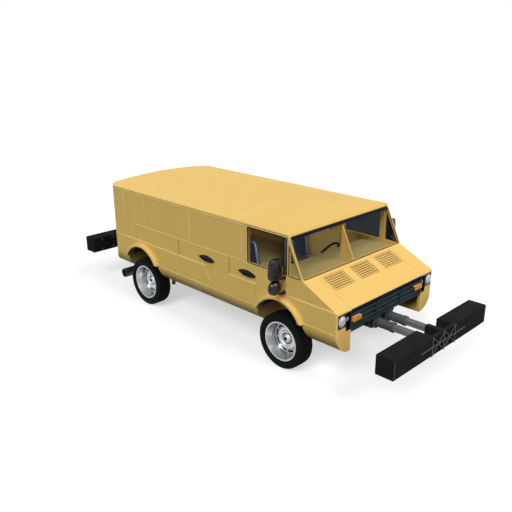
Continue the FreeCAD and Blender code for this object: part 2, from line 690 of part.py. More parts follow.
def rear_quarter():
    """Left rear quarter panel, from the side door to the rear door, with its wheel arch and press lines."""
    panel = WALLS.common(block(REAR_DOOR_HALF_WIDTH + GAP, BIG, at(SIDE_DOOR_TOP_END), BIG, TUCK_Z, BIG))
    panel = panel.cut(side_door_zone(0))
    for back in PRESS_LINES_FROM_TAIL:
        panel = panel.cut(groove(TAIL_Y - back, TAIL_Y - back + GROOVE_WIDTH, BELT_Z, WALL_TOP_Z))
    belt_end = TAIL_Y - PRESS_LINES_FROM_TAIL[1]
    panel = panel.cut(groove(at(SIDE_DOOR_TOP_END), belt_end, BELT_Z - GROOVE_WIDTH, BELT_Z))
    panel = panel.cut(groove(belt_end, belt_end + GROOVE_WIDTH, FEATURE_Z, BELT_Z))
    panel = panel.fuse(flare(REAR_AXLE_Y))
    panel = panel.cut(arch_slot(ARCH_RADIUS, 0, BIG, REAR_AXLE_Y))
    panel = panel.cut(tail_lamp_room())
    return add_fixed_knuckles(panel, REAR_HINGES)


REAR_HANDLE_Z = 1040.0


def rear_door():
    """Left rear door as one thick closed panel with its grab handle."""
    zone = block(GAP / 2, REAR_DOOR_HALF_WIDTH - 2, 0, BIG, REAR_DOOR_BOTTOM_Z, WALL_TOP_Z - GAP)
    handle = prism_y(TAIL_Y - WALL / 2, TAIL_Y + 20, *rounded(50, 190, REAR_HANDLE_Z - 16, REAR_HANDLE_Z + 16, 14))
    return add_moving_knuckles(WALLS.common(zone).fuse(handle), REAR_HINGES)


def both(shape):
    """Left cutter and its right twin as one cutter."""
    return Part.makeCompound([shape, mirrored(shape)])


def cut_wells(shape):
    """Take the four wheel wells out of a piece."""
    for axle_y in (FRONT_AXLE_Y, REAR_AXLE_Y):
        for room in (well_block(axle_y, FIT), wheel_room(axle_y)):
            shape = shape.cut(both(room))
    return shape


def sills():
    """Tucked-under lower panels: nose corners, door sills and tail corners on both sides."""
    lower = WALLS.common(block(SILL_INNER_X, BIG, -BIG, BIG, 0, TUCK_Z))
    lower = lower.cut(block(0, LID_HALF_WIDTH, -BIG, at(FIREWALL_AT), 0, BIG))
    seam = at(CAB_DOOR_LOW_END) - LOW_CORNER_RUN
    lower = lower.cut(groove(seam, seam + GROOVE_WIDTH, BOTTOM_Z + WALL, TUCK_Z))
    return cut_wells(both(lower))


def cab_floor():
    """Flat floor of the cab, between the sills, from the firewall to the load floor's step."""
    plate = block(-SILL_INNER_X, SILL_INNER_X, at(FIREWALL_AT), at(FLOOR_STEP_AT), BOTTOM_Z, CAB_FLOOR_Z)
    return cut_wells(plate)


def load_floor():
    """Flat load floor with the step down to the cab floor at its front edge."""
    step_front = at(FLOOR_STEP_AT) - FLOOR_THICKNESS
    room = room_volume(WALL + FIT)
    plate = room.common(block(-BIG, BIG, step_front, BIG, LOAD_UNDERSIDE_Z, LOAD_FLOOR_Z))
    half = HALF_WIDTH - TUCK_RADIUS
    step = block(-half, half, step_front, at(FLOOR_STEP_AT), CAB_FLOOR_Z, LOAD_UNDERSIDE_Z)
    return cut_wells(plate.fuse(step)).removeSplitter()


def firewall():
    """Upright wall between the engine and the cab."""
    half = UPPER_HALF_WIDTH - WALL - GAP
    wall = ROOM.common(block(-half, half, at(FIREWALL_AT), at(FIREWALL_AT) + FLOOR_THICKNESS,
                             CAB_FLOOR_Z, FIREWALL_TOP_Z))
    return cut_wells(wall).cut(column_room())


# Glass


GLASS_INSET = 8.0
GLASS_THICKNESS = 6.0
GLASS_SKIN = body_volume(GLASS_INSET).cut(body_volume(GLASS_INSET + GLASS_THICKNESS))
SIDE_GLASS = GLASS_SKIN.common(block(SCREEN_HALF_WIDTH, BIG, -BIG, BIG, 0, BIG))


def windscreen():
    """Windscreen pane in its frame."""
    return GLASS_SKIN.common(screen_zone(FIT))


def door_glass():
    """Left cab door pane."""
    return SIDE_GLASS.common(window_zone(FIT))


def quarter_glass():
    """Left triangular pane."""
    return SIDE_GLASS.common(quarter_window_zone(FIT))


# Nose


GRILLE_DEPTH = 36.0
GRILLE_PLATE = 6.0
GRILLE_BAND_LOW_Z = 878.0
GRILLE_RIB_HEIGHT = 30.0
GRILLE_RIB_HEIGHTS = (857.0, 800.0, 743.0)
GRILLE_UPRIGHT_X = 233.0
GRILLE_UPRIGHT_PROUD = 12.0
GRILLE_BAR = 12.0


def rib(z, height, y0, y1):
    """Grille rib right across, with a rounded front."""
    half = height / 2
    return prism_x(-LID_HALF_WIDTH, LID_HALF_WIDTH, (y1, z - half), (y0 + half / 2, z - half),
                   ((y0, z), (y0 + half / 2, z + half)), (y1, z + half))


def grille():
    """Dark grille: a back plate, a top band with fine ribs, three deep ribs, and uprights."""
    low = DOOR_BOTTOM_Z
    high = NOSE_TOP_Z - LID_LIP - GAP
    front = NOSE_Y + 2
    back = front + GRILLE_DEPTH
    half = LID_HALF_WIDTH
    bars = [block(-half, half, back - GRILLE_PLATE, back, low, high),
            block(-half, half, front + 10, back, GRILLE_BAND_LOW_Z, high),
            block(-half, half, front + 4, back, low, low + GRILLE_BAR * 2)]
    for index in range(3):
        z = GRILLE_BAND_LOW_Z + (high - GRILLE_BAND_LOW_Z) * (index + 0.5) / 3
        bars.append(rib(z, 8, front, back))
    for z in GRILLE_RIB_HEIGHTS:
        bars.append(rib(z, GRILLE_RIB_HEIGHT, front, back))
    for x in (-GRILLE_UPRIGHT_X, GRILLE_UPRIGHT_X):
        bars.append(block(x - GRILLE_BAR / 2, x + GRILLE_BAR / 2, front - GRILLE_UPRIGHT_PROUD, back,
                          low + GRILLE_BAR, GRILLE_BAND_LOW_Z))
    for x in (-half, half - GRILLE_BAR):
        bars.append(block(x, x + GRILLE_BAR, front, back, low, high))
    return fuse(bars)


INDICATOR_INSET = 10.0
INDICATOR_WIDTH = 155.0
INDICATOR_LOW_Z = 785.0
INDICATOR_HEIGHT = 53.0
INDICATOR_PROUD = 18.0


def indicator():
    """Left orange indicator, proud of the grille."""
    outer = LID_HALF_WIDTH - INDICATOR_INSET
    return prism_y(NOSE_Y - INDICATOR_PROUD, NOSE_Y + 20, *rounded(outer - INDICATOR_WIDTH, outer, INDICATOR_LOW_Z,
                                                                   INDICATOR_LOW_Z + INDICATOR_HEIGHT, 10))


# Bumpers

BUMPER_BACK_Y = NOSE_Y - BUMPER_GAP
BUMPER_FRONT_Y = BUMPER_BACK_Y - BUMPER_DEPTH
BAY_WALL = 40.0
BEAM_CORNER = 12.0
BAY_X0 = 30.0
BAY_X1 = 215.0
LATTICE_BAR = 12.0
LATTICE_PROUD = 6.0


BRACE_X = BAY_X1 + 20
CELL_DEPTH = 18.0
RAIL_HALF_LENGTH = 460.0
BUMPER_TOP_Z = BUMPER_BOTTOM_Z + BUMPER_HEIGHT


def bumper():
    """Front bumper: a deep beam with two open bays, each closed in front by a braced wall."""
    beam = prism_x(-BUMPER_HALF_WIDTH, BUMPER_HALF_WIDTH, *rounded(BUMPER_FRONT_Y + LATTICE_PROUD, BUMPER_BACK_Y,
                                                                   BUMPER_BOTTOM_Z, BUMPER_TOP_Z, BEAM_CORNER))
    beam = beam.cut(both(block(BAY_X0, BAY_X1, BUMPER_FRONT_Y + BAY_WALL, BUMPER_BACK_Y + 1, 0, BIG)))
    cells = block(-BRACE_X, BRACE_X, BUMPER_FRONT_Y, BUMPER_FRONT_Y + LATTICE_PROUD + CELL_DEPTH,
                  BUMPER_BOTTOM_Z + LATTICE_BAR, BUMPER_TOP_Z - LATTICE_BAR)
    return fuse([beam.cut(cells)] + lattice())


def lattice():
    """Braces over the cells of the front wall: uprights, a rail and crossed diagonals."""
    half = LATTICE_BAR / 2
    y0 = BUMPER_FRONT_Y
    y1 = BUMPER_FRONT_Y + LATTICE_PROUD + CELL_DEPTH + 1
    low = BUMPER_BOTTOM_Z + 2
    top = BUMPER_TOP_Z - 2
    bars = [block(-RAIL_HALF_LENGTH, RAIL_HALF_LENGTH, y0, y1, BUMPER_MID_Z - half, BUMPER_MID_Z + half)]
    for x in (-BRACE_X, 0, BRACE_X):
        bars.append(block(x - half, x + half, y0, y1, low, top))
    for x0, x1 in ((-BRACE_X, 0), (0, BRACE_X)):
        for z0, z1 in ((low, top), (top, low)):
            bars.append(prism_y(y0, y1, (x0 - half, z0), (x0 + half, z0), (x1 + half, z1), (x1 - half, z1)))
    return bars


TUBE_BARE_RUN = 320.0
TUBE_START_Y = BUMPER_BACK_Y + TUBE_BARE_RUN
STRUT_END_Y = TUBE_START_Y + STRUT_LENGTH
ROD_RADIUS = STRUT_TUBE_RADIUS - STRUT_TUBE_WALL - ROD_CLEARANCE
ROD_OVERLAP = 140.0
HOUSING_START = 235.0
HOUSING_RIBS = 10
HOUSING_PITCH = 25.0
RIB_WIDTH = 12.0
RIB_RADIUS = 96.0
COLLAR_RIB_RADIUS = 78.0
TUBE_FLOOR = 24.0


def strut():
    """Left fixed part of a front telescopic strut: collar, tube and ribbed housing."""
    axis = V(0, 1, 0)
    start = TUBE_START_Y + HOUSING_START
    solids = [cylinder(STRUT_TUBE_RADIUS, V(STRUT_X, TUBE_START_Y, BUMPER_MID_Z), axis, STRUT_LENGTH),
              cylinder(STRUT_TUBE_RADIUS + 5, V(STRUT_X, TUBE_START_Y, BUMPER_MID_Z), axis, COLLAR_LENGTH),
              cylinder(STRUT_TUBE_RADIUS + 9, V(STRUT_X, start, BUMPER_MID_Z), axis, STRUT_END_Y - start)]
    for index in range(HOUSING_RIBS):
        radius = COLLAR_RIB_RADIUS if index < 2 else RIB_RADIUS
        solids.append(cylinder(radius, V(STRUT_X, start + HOUSING_PITCH * index, BUMPER_MID_Z), axis, RIB_WIDTH))
    bore = cylinder(ROD_RADIUS + ROD_CLEARANCE, V(STRUT_X, TUBE_START_Y - 1, BUMPER_MID_Z), axis,
                    STRUT_LENGTH - TUBE_FLOOR)
    return fuse(solids).cut(bore)


def rod():
    """Left sliding rod of the front bumper."""
    start = BUMPER_FRONT_Y + BAY_WALL
    end = TUBE_START_Y + ROD_OVERLAP
    return cylinder(ROD_RADIUS, V(STRUT_X, start, BUMPER_MID_Z), V(0, 1, 0), end - start)


# Chassis

RAIL_X = 330.0
RAIL_WIDTH = 60.0
RAIL_HEIGHT = 50.0
RAIL_START_AT = 330.0
RAIL_END_INSET = 60.0
RAIL_RAMP = 260.0
RAIL_LOW_Z = BOTTOM_Z - RAIL_HEIGHT
RAIL_HIGH_Z = LOAD_UNDERSIDE_Z - RAIL_HEIGHT
MEMBER_WIDTH = 50.0
END_PLATE = 30.0


def rails():
    """Two rails, raised behind the cab to clear the rear axle."""
    kick = at(FLOOR_STEP_AT)
    start = at(RAIL_START_AT)
    end = TAIL_Y - RAIL_END_INSET
    rail = prism_x(RAIL_X - RAIL_WIDTH / 2, RAIL_X + RAIL_WIDTH / 2, (start, RAIL_LOW_Z), (kick, RAIL_LOW_Z),
                   (kick + RAIL_RAMP, RAIL_HIGH_Z), (end, RAIL_HIGH_Z), (end, LOAD_UNDERSIDE_Z),
                   (kick + RAIL_RAMP, LOAD_UNDERSIDE_Z), (kick, BOTTOM_Z), (start, BOTTOM_Z))
    return pair(rail)


def cross_members():
    """Members between the rails; the end ones are tall and carry the bumper struts."""
    half = RAIL_X - RAIL_WIDTH / 2
    reach = RIB_RADIUS + RAIL_END_CLEARANCE
    front_plate = block(-half, half, STRUT_END_Y, STRUT_END_Y + END_PLATE, RAIL_LOW_Z, BUMPER_MID_Z + reach)
    rear_plate = block(-half, half, -STRUT_END_Y - END_PLATE, -STRUT_END_Y, BUMPER_MID_Z - reach, LOAD_UNDERSIDE_Z)
    members = [block(-half, half, y, y + MEMBER_WIDTH, RAIL_LOW_Z, BOTTOM_Z)
               for y in (at(FIREWALL_AT) - MEMBER_WIDTH - 10, at(B_POST_AT) + 210)]
    return Part.makeCompound([front_plate, rear_plate] + members)


RAIL_END_CLEARANCE = 10.0
SPRING_REACH = 410.0
SPRING_THICKNESS = 24.0
SPRING_WIDTH = 50.0
HANGER_LENGTH = 40.0
BEAM_RADIUS = 40.0


def leaf_spring(axle_y, carried_z):
    """Left leaf spring under an axle, with its hangers up to the rail."""
    sag = AXLE_Z - BEAM_RADIUS + 4
    ends_z = RAIL_LOW_Z - 20
    front = axle_y - SPRING_REACH
    back = axle_y + SPRING_REACH
    x0 = RAIL_X - SPRING_WIDTH / 2
    x1 = RAIL_X + SPRING_WIDTH / 2
    strip = prism_x(x0, x1, (front, ends_z), ((axle_y, sag), (back, ends_z)), (back, ends_z - SPRING_THICKNESS),
                    ((axle_y, sag - SPRING_THICKNESS), (front, ends_z - SPRING_THICKNESS)))
    hangers = [block(x0, x1, y, y + HANGER_LENGTH, ends_z - SPRING_THICKNESS, carried_z)
               for y in (front - 10, back + 10 - HANGER_LENGTH)]
    return fuse([strip] + hangers)


YOKE_HEIGHT = 26.0
YOKE_RUN = 60.0
YOKE_RADIUS = 22.0
BOSS_HALF_HEIGHT = 66.0
BOSS_RADIUS = 30.0
KINGPIN_RADIUS = 12.0
SPINDLE_RADIUS = 24.0
SPINDLE_END = 20.0
DISC_RADIUS = 120.0
DISC_SETBACK = 37.0
DISC_THICKNESS = 10.0
DAMPER_X = 490.0
DAMPER_SETBACK = 75.0
DAMPER_FOOT_Y = REAR_AXLE_Y - DAMPER_SETBACK
DAMPER_FOOT_Z = AXLE_Z - 136
DAMPER_RADIUS = 28.0
DAMPER_LEAN = 60.0


def yoke():
    """Left yoke at the end of the front axle: an upright with an arm above and below the boss."""
    top = BOSS_HALF_HEIGHT + YOKE_HEIGHT
    inner = KINGPIN_X - YOKE_RUN - 20
    upright = block(inner, inner + 35, FRONT_AXLE_Y - 32, FRONT_AXLE_Y + 32, AXLE_Z - top, AXLE_Z + top)
    shapes = [upright]
    for low in (AXLE_Z - top, AXLE_Z + BOSS_HALF_HEIGHT):
        shapes.append(block(inner, KINGPIN_X, FRONT_AXLE_Y - YOKE_RADIUS, FRONT_AXLE_Y + YOKE_RADIUS,
                            low, low + YOKE_HEIGHT))
        shapes.append(cylinder(YOKE_RADIUS, V(KINGPIN_X, FRONT_AXLE_Y, low), V(0, 0, 1), YOKE_HEIGHT))
    pin_room = cylinder(KINGPIN_RADIUS + FIT, V(KINGPIN_X, FRONT_AXLE_Y, 0), V(0, 0, 1), BIG)
    return fuse(shapes).cut(pin_room)


def front_axle():
    """Front beam axle with its springs and the yokes that hold the kingpins."""
    half = KINGPIN_X - YOKE_RUN
    beam = cylinder(BEAM_RADIUS, V(-half, FRONT_AXLE_Y, AXLE_Z), V(1, 0, 0), 2 * half)
    spring = leaf_spring(FRONT_AXLE_Y, RAIL_LOW_Z)
    left = yoke()
    return fuse([beam, spring, mirrored(spring), left, mirrored(left)])


def spindle(start_x, axle_y):
    """Left wheel spindle with its brake disc."""
    shaft = cylinder(SPINDLE_RADIUS, V(start_x, axle_y, AXLE_Z), V(1, 0, 0), HUB_FACE_X + SPINDLE_END - start_x)
    disc = cylinder(DISC_RADIUS, V(HUB_FACE_X - DISC_SETBACK, axle_y, AXLE_Z), V(1, 0, 0), DISC_THICKNESS)
    return fuse([shaft, disc])


def knuckle():
    """Left steering knuckle: kingpin, boss, spindle and brake disc."""
    half = BOSS_HALF_HEIGHT - FIT
    boss = cylinder(BOSS_RADIUS, V(KINGPIN_X, FRONT_AXLE_Y, AXLE_Z - half), V(0, 0, 1), 2 * half)
    reach = BOSS_HALF_HEIGHT + YOKE_HEIGHT
    pin = cylinder(KINGPIN_RADIUS, V(KINGPIN_X, FRONT_AXLE_Y, AXLE_Z - reach), V(0, 0, 1), 2 * reach)
    return fuse([boss, pin, spindle(KINGPIN_X, FRONT_AXLE_Y)])


def rear_axle():
    """Rear beam axle with its springs, spindles and brake discs."""
    half = KINGPIN_X
    beam = cylinder(BEAM_RADIUS, V(-half, REAR_AXLE_Y, AXLE_Z), V(1, 0, 0), 2 * half)
    spring = leaf_spring(REAR_AXLE_Y, RAIL_HIGH_Z)
    bracket = block(DAMPER_X - 60, DAMPER_X + 10, DAMPER_FOOT_Y - 20, REAR_AXLE_Y, AXLE_Z - BEAM_RADIUS + 4, AXLE_Z)
    bracket = bracket.cut(damper_leg(DAMPER_RADIUS + FIT))
    left = fuse([spindle(half - 1, REAR_AXLE_Y), spring, bracket])
    return fuse([beam, left, mirrored(left)])




def tyre_solid():
    """Left tyre about the origin, axis along X, with rounded shoulders."""
    half = TYRE_WIDTH / 2
    shoulder = 34
    bead_x = half - BEAD_INSET
    bead = RIM_RADIUS + FIT
    bead_top = RIM_RADIUS + RIM_FLANGE + 2
    belly = (bead_top + TYRE_RADIUS) / 2 - 8
    outline = face(xy, (-bead_x, bead), (bead_x, bead), (bead_x, bead_top),
                   ((half, belly), (half - 4, TYRE_RADIUS - shoulder)),
                   ((half - 12, TYRE_RADIUS - 10), (half - shoulder, TYRE_RADIUS)),
                   (-half + shoulder, TYRE_RADIUS),
                   ((-half + 12, TYRE_RADIUS - 10), (-half + 4, TYRE_RADIUS - shoulder)),
                   ((-half, belly), (-bead_x, bead_top)))
    return outline.revolve(V(0, 0, 0), V(1, 0, 0), 360)


RIM_WALL = 9.0
DROP_DEPTH = 30.0
DROP_AT = 70.0
DISC_RING_RADIUS = 150.0
HUB_DOME_RADIUS = 62.0
HUB_DOME_RISE = 34.0


def rim_solid():
    """Left deep-dish rim about the origin, axis along X, outer face to +X."""
    seat = TYRE_WIDTH / 2 - BEAD_INSET + FIT
    half = seat + FLANGE_THICKNESS
    lip = RIM_RADIUS + RIM_FLANGE
    dish_x = HUB_FACE_X - WHEEL_X
    drop = RIM_RADIUS - DROP_DEPTH
    bore = SPINDLE_RADIUS + FIT
    profile = face(xy, (dish_x - 14, bore), (dish_x, bore), (dish_x, HUB_DOME_RADIUS + 28),
                   ((dish_x + 16, (HUB_DOME_RADIUS + 28 + DISC_RING_RADIUS) / 2), (dish_x, DISC_RING_RADIUS)),
                   (dish_x - 4, drop - RIM_WALL), (half - DROP_AT, drop), (half - 2, RIM_RADIUS - 4), (half, lip),
                   (seat, lip), (seat, RIM_RADIUS), (-seat, RIM_RADIUS), (-seat, lip), (-half, lip),
                   (-half, RIM_RADIUS), (-half + 4, RIM_RADIUS - RIM_WALL), (dish_x - 22, RIM_RADIUS - RIM_WALL),
                   (dish_x - 22, DISC_RING_RADIUS), (dish_x - 14, HUB_DOME_RADIUS))
    dome = face(xy, (dish_x - 1, 0), (dish_x + HUB_DOME_RISE, 0),
                ((dish_x + HUB_DOME_RISE * 0.75, HUB_DOME_RADIUS * 0.62), (dish_x, HUB_DOME_RADIUS)),
                (dish_x - 1, HUB_DOME_RADIUS))
    solid = fuse([profile.revolve(V(0, 0, 0), V(1, 0, 0), 360), dome.revolve(V(0, 0, 0), V(1, 0, 0), 360)])
    return solid.cut(cylinder(bore, V(dish_x - WHEEL_DISH, 0, 0), V(1, 0, 0), WHEEL_DISH + SPINDLE_END + FIT))


def place_wheel(shape, side, axle_y):
    """Wheel piece moved to its corner: side is 1 for left and -1 for right."""
    copy = shape.copy()
    if side < 0:
        copy = mirrored(copy)
    copy.translate(V(side * WHEEL_X, axle_y, AXLE_Z))
    return copy


# Underbody


ENGINE_FRONT_AT = 500.0
ENGINE_REAR_CLEARANCE = 70.0
ENGINE_TOP_Z = 860.0
EXHAUST_FROM_TAIL = 180.0
EXHAUST_Z = 290.0
EXHAUST_RADIUS = 68.0
EXHAUST_WALL = 10.0
EXHAUST_OUTLET_X = -870.0
EXHAUST_LENGTH = 560.0
EXHAUST_OPEN_LENGTH = 159.0


def engine():
    """Plain engine block on its cross-member."""
    return block(-RAIL_X, RAIL_X, at(ENGINE_FRONT_AT), at(FIREWALL_AT) - ENGINE_REAR_CLEARANCE, BOTTOM_Z,
                 ENGINE_TOP_Z)


def exhaust():
    """Silencer across the tail with its outlet to the right."""
    y = TAIL_Y - EXHAUST_FROM_TAIL
    body = cylinder(EXHAUST_RADIUS, V(EXHAUST_OUTLET_X, y, EXHAUST_Z), V(1, 0, 0), EXHAUST_LENGTH)
    outlet = cylinder(EXHAUST_RADIUS - EXHAUST_WALL, V(EXHAUST_OUTLET_X - 1, y, EXHAUST_Z), V(1, 0, 0),
                      EXHAUST_OPEN_LENGTH + 1)
    hanger_x = EXHAUST_OUTLET_X + EXHAUST_LENGTH - 110
    hanger = block(hanger_x, hanger_x + 30, y - 15, y + 15, EXHAUST_Z + 60, LOAD_UNDERSIDE_Z)
    return fuse([body.cut(outlet), hanger])


def damper_leg(radius):
    """Left rear damper of a radius, from below the axle up to the load floor."""
    foot = V(DAMPER_X, DAMPER_FOOT_Y, DAMPER_FOOT_Z)
    run = V(DAMPER_X, DAMPER_FOOT_Y - DAMPER_LEAN, LOAD_UNDERSIDE_Z) - foot
    leg = cylinder(radius, foot - run * 0.2, run, run.Length * 1.4)
    return leg.common(block(0, BIG, 0, BIG, DAMPER_FOOT_Z, LOAD_UNDERSIDE_Z))


# Cab


DASH_LOW_Z = 780.0
DASH_KNEE_AT = 1030.0
DASH_BACK_AT = 1050.0
DASH_BACK_Z = 1095.0
DASH_SHELF_AT = 815.0
DASH_FRONT_AT = 400.0
DASH_ROLL = 25.0
STEERING_INSET = 505.0
STEERING_AT = 1250.0
STEERING_Z = 980.0
WHEEL_CENTRE = V(HALF_WIDTH - STEERING_INSET, at(STEERING_AT), STEERING_Z)
STEERING_TILT = 60.0
COLUMN_RADIUS = 22.0
COLUMN_DIRECTION = V(0, -math.sin(math.radians(STEERING_TILT)), -math.cos(math.radians(STEERING_TILT)))
GRIP_RING_RADIUS = 180.0
GRIP_RADIUS = 15.0
STEERING_HUB_RADIUS = 34.0
COLUMN_LENGTH = 330.0


def column_room():
    """Bearing bore for the steering column."""
    return cylinder(COLUMN_RADIUS + FIT, WHEEL_CENTRE, COLUMN_DIRECTION, BIG)


def dashboard():
    """Dashboard across the cab: a shelf from the windscreen back over the firewall, and its rolled face."""
    half = UPPER_HALF_WIDTH - WALL - GAP
    back = at(FIREWALL_AT) + FLOOR_THICKNESS
    outline = prism_x(-half, half, (back, DASH_LOW_Z), (at(DASH_KNEE_AT), DASH_LOW_Z), (at(DASH_BACK_AT), DASH_BACK_Z),
                      ((at(DASH_BACK_AT) + 4, DASH_BACK_Z + DASH_ROLL), (at(DASH_BACK_AT) - 22, DASH_BACK_Z + 38)),
                      (at(DASH_SHELF_AT), DASH_TOP_Z), (at(DASH_FRONT_AT), DASH_TOP_Z),
                      (at(DASH_FRONT_AT), FIREWALL_TOP_Z), (back, FIREWALL_TOP_Z))
    return cut_wells(outline.common(ROOM)).cut(column_room())


def steering_wheel():
    """Steering wheel with its spokes and column."""
    axis = V(0, 0, 1)
    ring = Part.makeTorus(GRIP_RING_RADIUS, GRIP_RADIUS, V(0, 0, 0), axis)
    hub = cylinder(STEERING_HUB_RADIUS, V(0, 0, -30), axis, 40)
    spokes = [block(-12, 12, 0, GRIP_RING_RADIUS, -8, 8), block(-GRIP_RING_RADIUS, GRIP_RING_RADIUS, -12, 12, -8, 8)]
    column = cylinder(COLUMN_RADIUS, V(0, 0, -COLUMN_LENGTH), axis, COLUMN_LENGTH)
    shape = fuse([ring, hub, column] + spokes)
    shape.rotate(V(0, 0, 0), V(1, 0, 0), -STEERING_TILT)
    shape.translate(WHEEL_CENTRE)
    return shape


SEAT_INSET = 465.0
SEAT_X = HALF_WIDTH - SEAT_INSET
SEAT_HALF_WIDTH = 232.0
SEAT_AT = 1345.0
SEAT_LENGTH = 500.0
SEAT_BASE_TOP_Z = 650.0
SEAT_PAD_HEIGHT = 130.0
BACK_AT = 1755.0
BACK_TOP_Z = 1215.0
BACK_LEAN = 90.0
BACK_THICKNESS = 115.0


def seat_base():
    """Left seat pedestal, narrower than the cushion it carries."""
    front = at(SEAT_AT) + 75
    foot = prism_y(front, front + SEAT_LENGTH - 100, (SEAT_X - 190, CAB_FLOOR_Z), (SEAT_X + 190, CAB_FLOOR_Z),
                   (SEAT_X + 165, SEAT_BASE_TOP_Z), (SEAT_X - 165, SEAT_BASE_TOP_Z))
    return foot


def seat_cushion():
    """Left seat cushion with a rolled front edge, and a leaning backrest with a rounded top."""
    front = at(SEAT_AT)
    low = SEAT_BASE_TOP_Z + FIT
    high = SEAT_BASE_TOP_Z + SEAT_PAD_HEIGHT
    foot = at(BACK_AT)
    top_y = foot + BACK_LEAN
    bottom = prism_x(SEAT_X - SEAT_HALF_WIDTH, SEAT_X + SEAT_HALF_WIDTH, (front + 25, low),
                     (front + SEAT_LENGTH, low), (front + SEAT_LENGTH, high - 20), (front + 60, high),
                     ((front - 5, high - 45), (front + 5, low + 30)))
    back = prism_x(SEAT_X - SEAT_HALF_WIDTH + 10, SEAT_X + SEAT_HALF_WIDTH - 10, (foot, high - 30),
                   (foot + BACK_THICKNESS, high - 30), (top_y + BACK_THICKNESS - 35, BACK_TOP_Z - 35),
                   ((top_y + 45, BACK_TOP_Z), (top_y, BACK_TOP_Z - 35)))
    return fuse([bottom, back])


# Mirrors and handles

MIRROR_AT = 760.0
MIRROR_Y = at(MIRROR_AT)
ARM_RADIUS = 9.0
ARM_HIGH_Z = 1300.0
ARM_LOW_Z = 985.0
ARM_REACH = 103.0
HEAD_X0 = UPPER_HALF_WIDTH + 60
HEAD_X1 = UPPER_HALF_WIDTH + 260
HEAD_LOW_Z = 1185.0
HEAD_HIGH_Z = 1418.0
HEAD_DEPTH = 70.0
WIDE_HEAD_RADIUS = 78.0


def mirror():
    """Left door mirror: a hooped arm that carries a tall head above a round one."""
    x = UPPER_HALF_WIDTH + ARM_REACH
    arm = [cylinder(ARM_RADIUS, V(x, MIRROR_Y, ARM_LOW_Z), V(0, 0, 1), ARM_HIGH_Z - ARM_LOW_Z)]
    for z in (ARM_LOW_Z, ARM_HIGH_Z):
        arm.append(cylinder(ARM_RADIUS, V(UPPER_HALF_WIDTH, MIRROR_Y, z), V(1, 0, 0), ARM_REACH))
        arm.append(Part.makeSphere(ARM_RADIUS, V(x, MIRROR_Y, z)))
        arm.append(cylinder(ARM_RADIUS * 2, V(UPPER_HALF_WIDTH, MIRROR_Y, z), V(1, 0, 0), 8))
    front = prism_y(MIRROR_Y - HEAD_DEPTH, MIRROR_Y + HEAD_DEPTH, *rounded(HEAD_X0, HEAD_X1, HEAD_LOW_Z, HEAD_HIGH_Z,
                                                                           48))
    side = prism_x(HEAD_X0 - 1, HEAD_X1 + 1, *rounded(MIRROR_Y - HEAD_DEPTH / 2, MIRROR_Y + HEAD_DEPTH / 2,
                                                      HEAD_LOW_Z - 1, HEAD_HIGH_Z + 1, 30))
    centre = V(x + WIDE_HEAD_RADIUS, MIRROR_Y - HEAD_DEPTH / 2, HEAD_LOW_Z - WIDE_HEAD_RADIUS - 22)
    wide = cylinder(WIDE_HEAD_RADIUS, centre, V(0, 1, 0), HEAD_DEPTH * 0.8)
    cap = Part.makeCone(WIDE_HEAD_RADIUS, WIDE_HEAD_RADIUS * 0.6, 22, centre, V(0, -1, 0))
    return fuse([front.common(side), wide, cap] + arm)


HANDLE_LENGTH = 284.0
HANDLE_HALF_HEIGHT = 34.0
HANDLE_PROUD = 24.0
HANDLE_Z = 1055.0
CAB_HANDLE_AT = 1209.0
SIDE_HANDLE_AT = 1937.0


def handle(start_y):
    """Left pointed-oval handle on a door, with a finger recess under its upper edge."""
    end_y = start_y + HANDLE_LENGTH
    mid_y = (start_y + end_y) / 2
    face_x = UPPER_HALF_WIDTH
    body = prism_x(face_x, face_x + HANDLE_PROUD, (start_y, HANDLE_Z - 12),
                   ((mid_y, HANDLE_Z - HANDLE_HALF_HEIGHT), (end_y, HANDLE_Z + 6)),
                   ((mid_y, HANDLE_Z + HANDLE_HALF_HEIGHT), (start_y, HANDLE_Z - 12)))
    recess = prism_x(face_x + 8, face_x + HANDLE_PROUD + 1, (start_y + 50, HANDLE_Z - 12),
                     ((mid_y, HANDLE_Z - HANDLE_HALF_HEIGHT + 10), (end_y - 50, HANDLE_Z - 4)))
    return body.cut(recess)


TAIL_LAMP_INSET = 155.0
TAIL_LAMP_X0 = HALF_WIDTH - TAIL_LAMP_INSET
TAIL_LAMP_WIDTH = 60.0
TAIL_LAMP_X1 = TAIL_LAMP_X0 + TAIL_LAMP_WIDTH
TAIL_LAMP_Z0 = 760.0
TAIL_LAMP_Z1 = 900.0


def tail_lamp_room():
    """Opening for the left tail lamp in the rear quarter."""
    return block(TAIL_LAMP_X0, TAIL_LAMP_X1, TAIL_Y - REAR_CORNER_RADIUS, BIG, TAIL_LAMP_Z0, TAIL_LAMP_Z1)


def tail_lamp():
    """Left tail lamp, on the corner beside the rear door."""
    return WALLS.common(tail_lamp_room())


def save(name, shape):
    """Write one node."""
    solids = shape.Solids
    print(name, len(solids), "solids", round(sum(s.Volume for s in solids) / 1e6, 2), "litres", shape.isValid())
    shape.exportStep("parts/" + name + ".step")


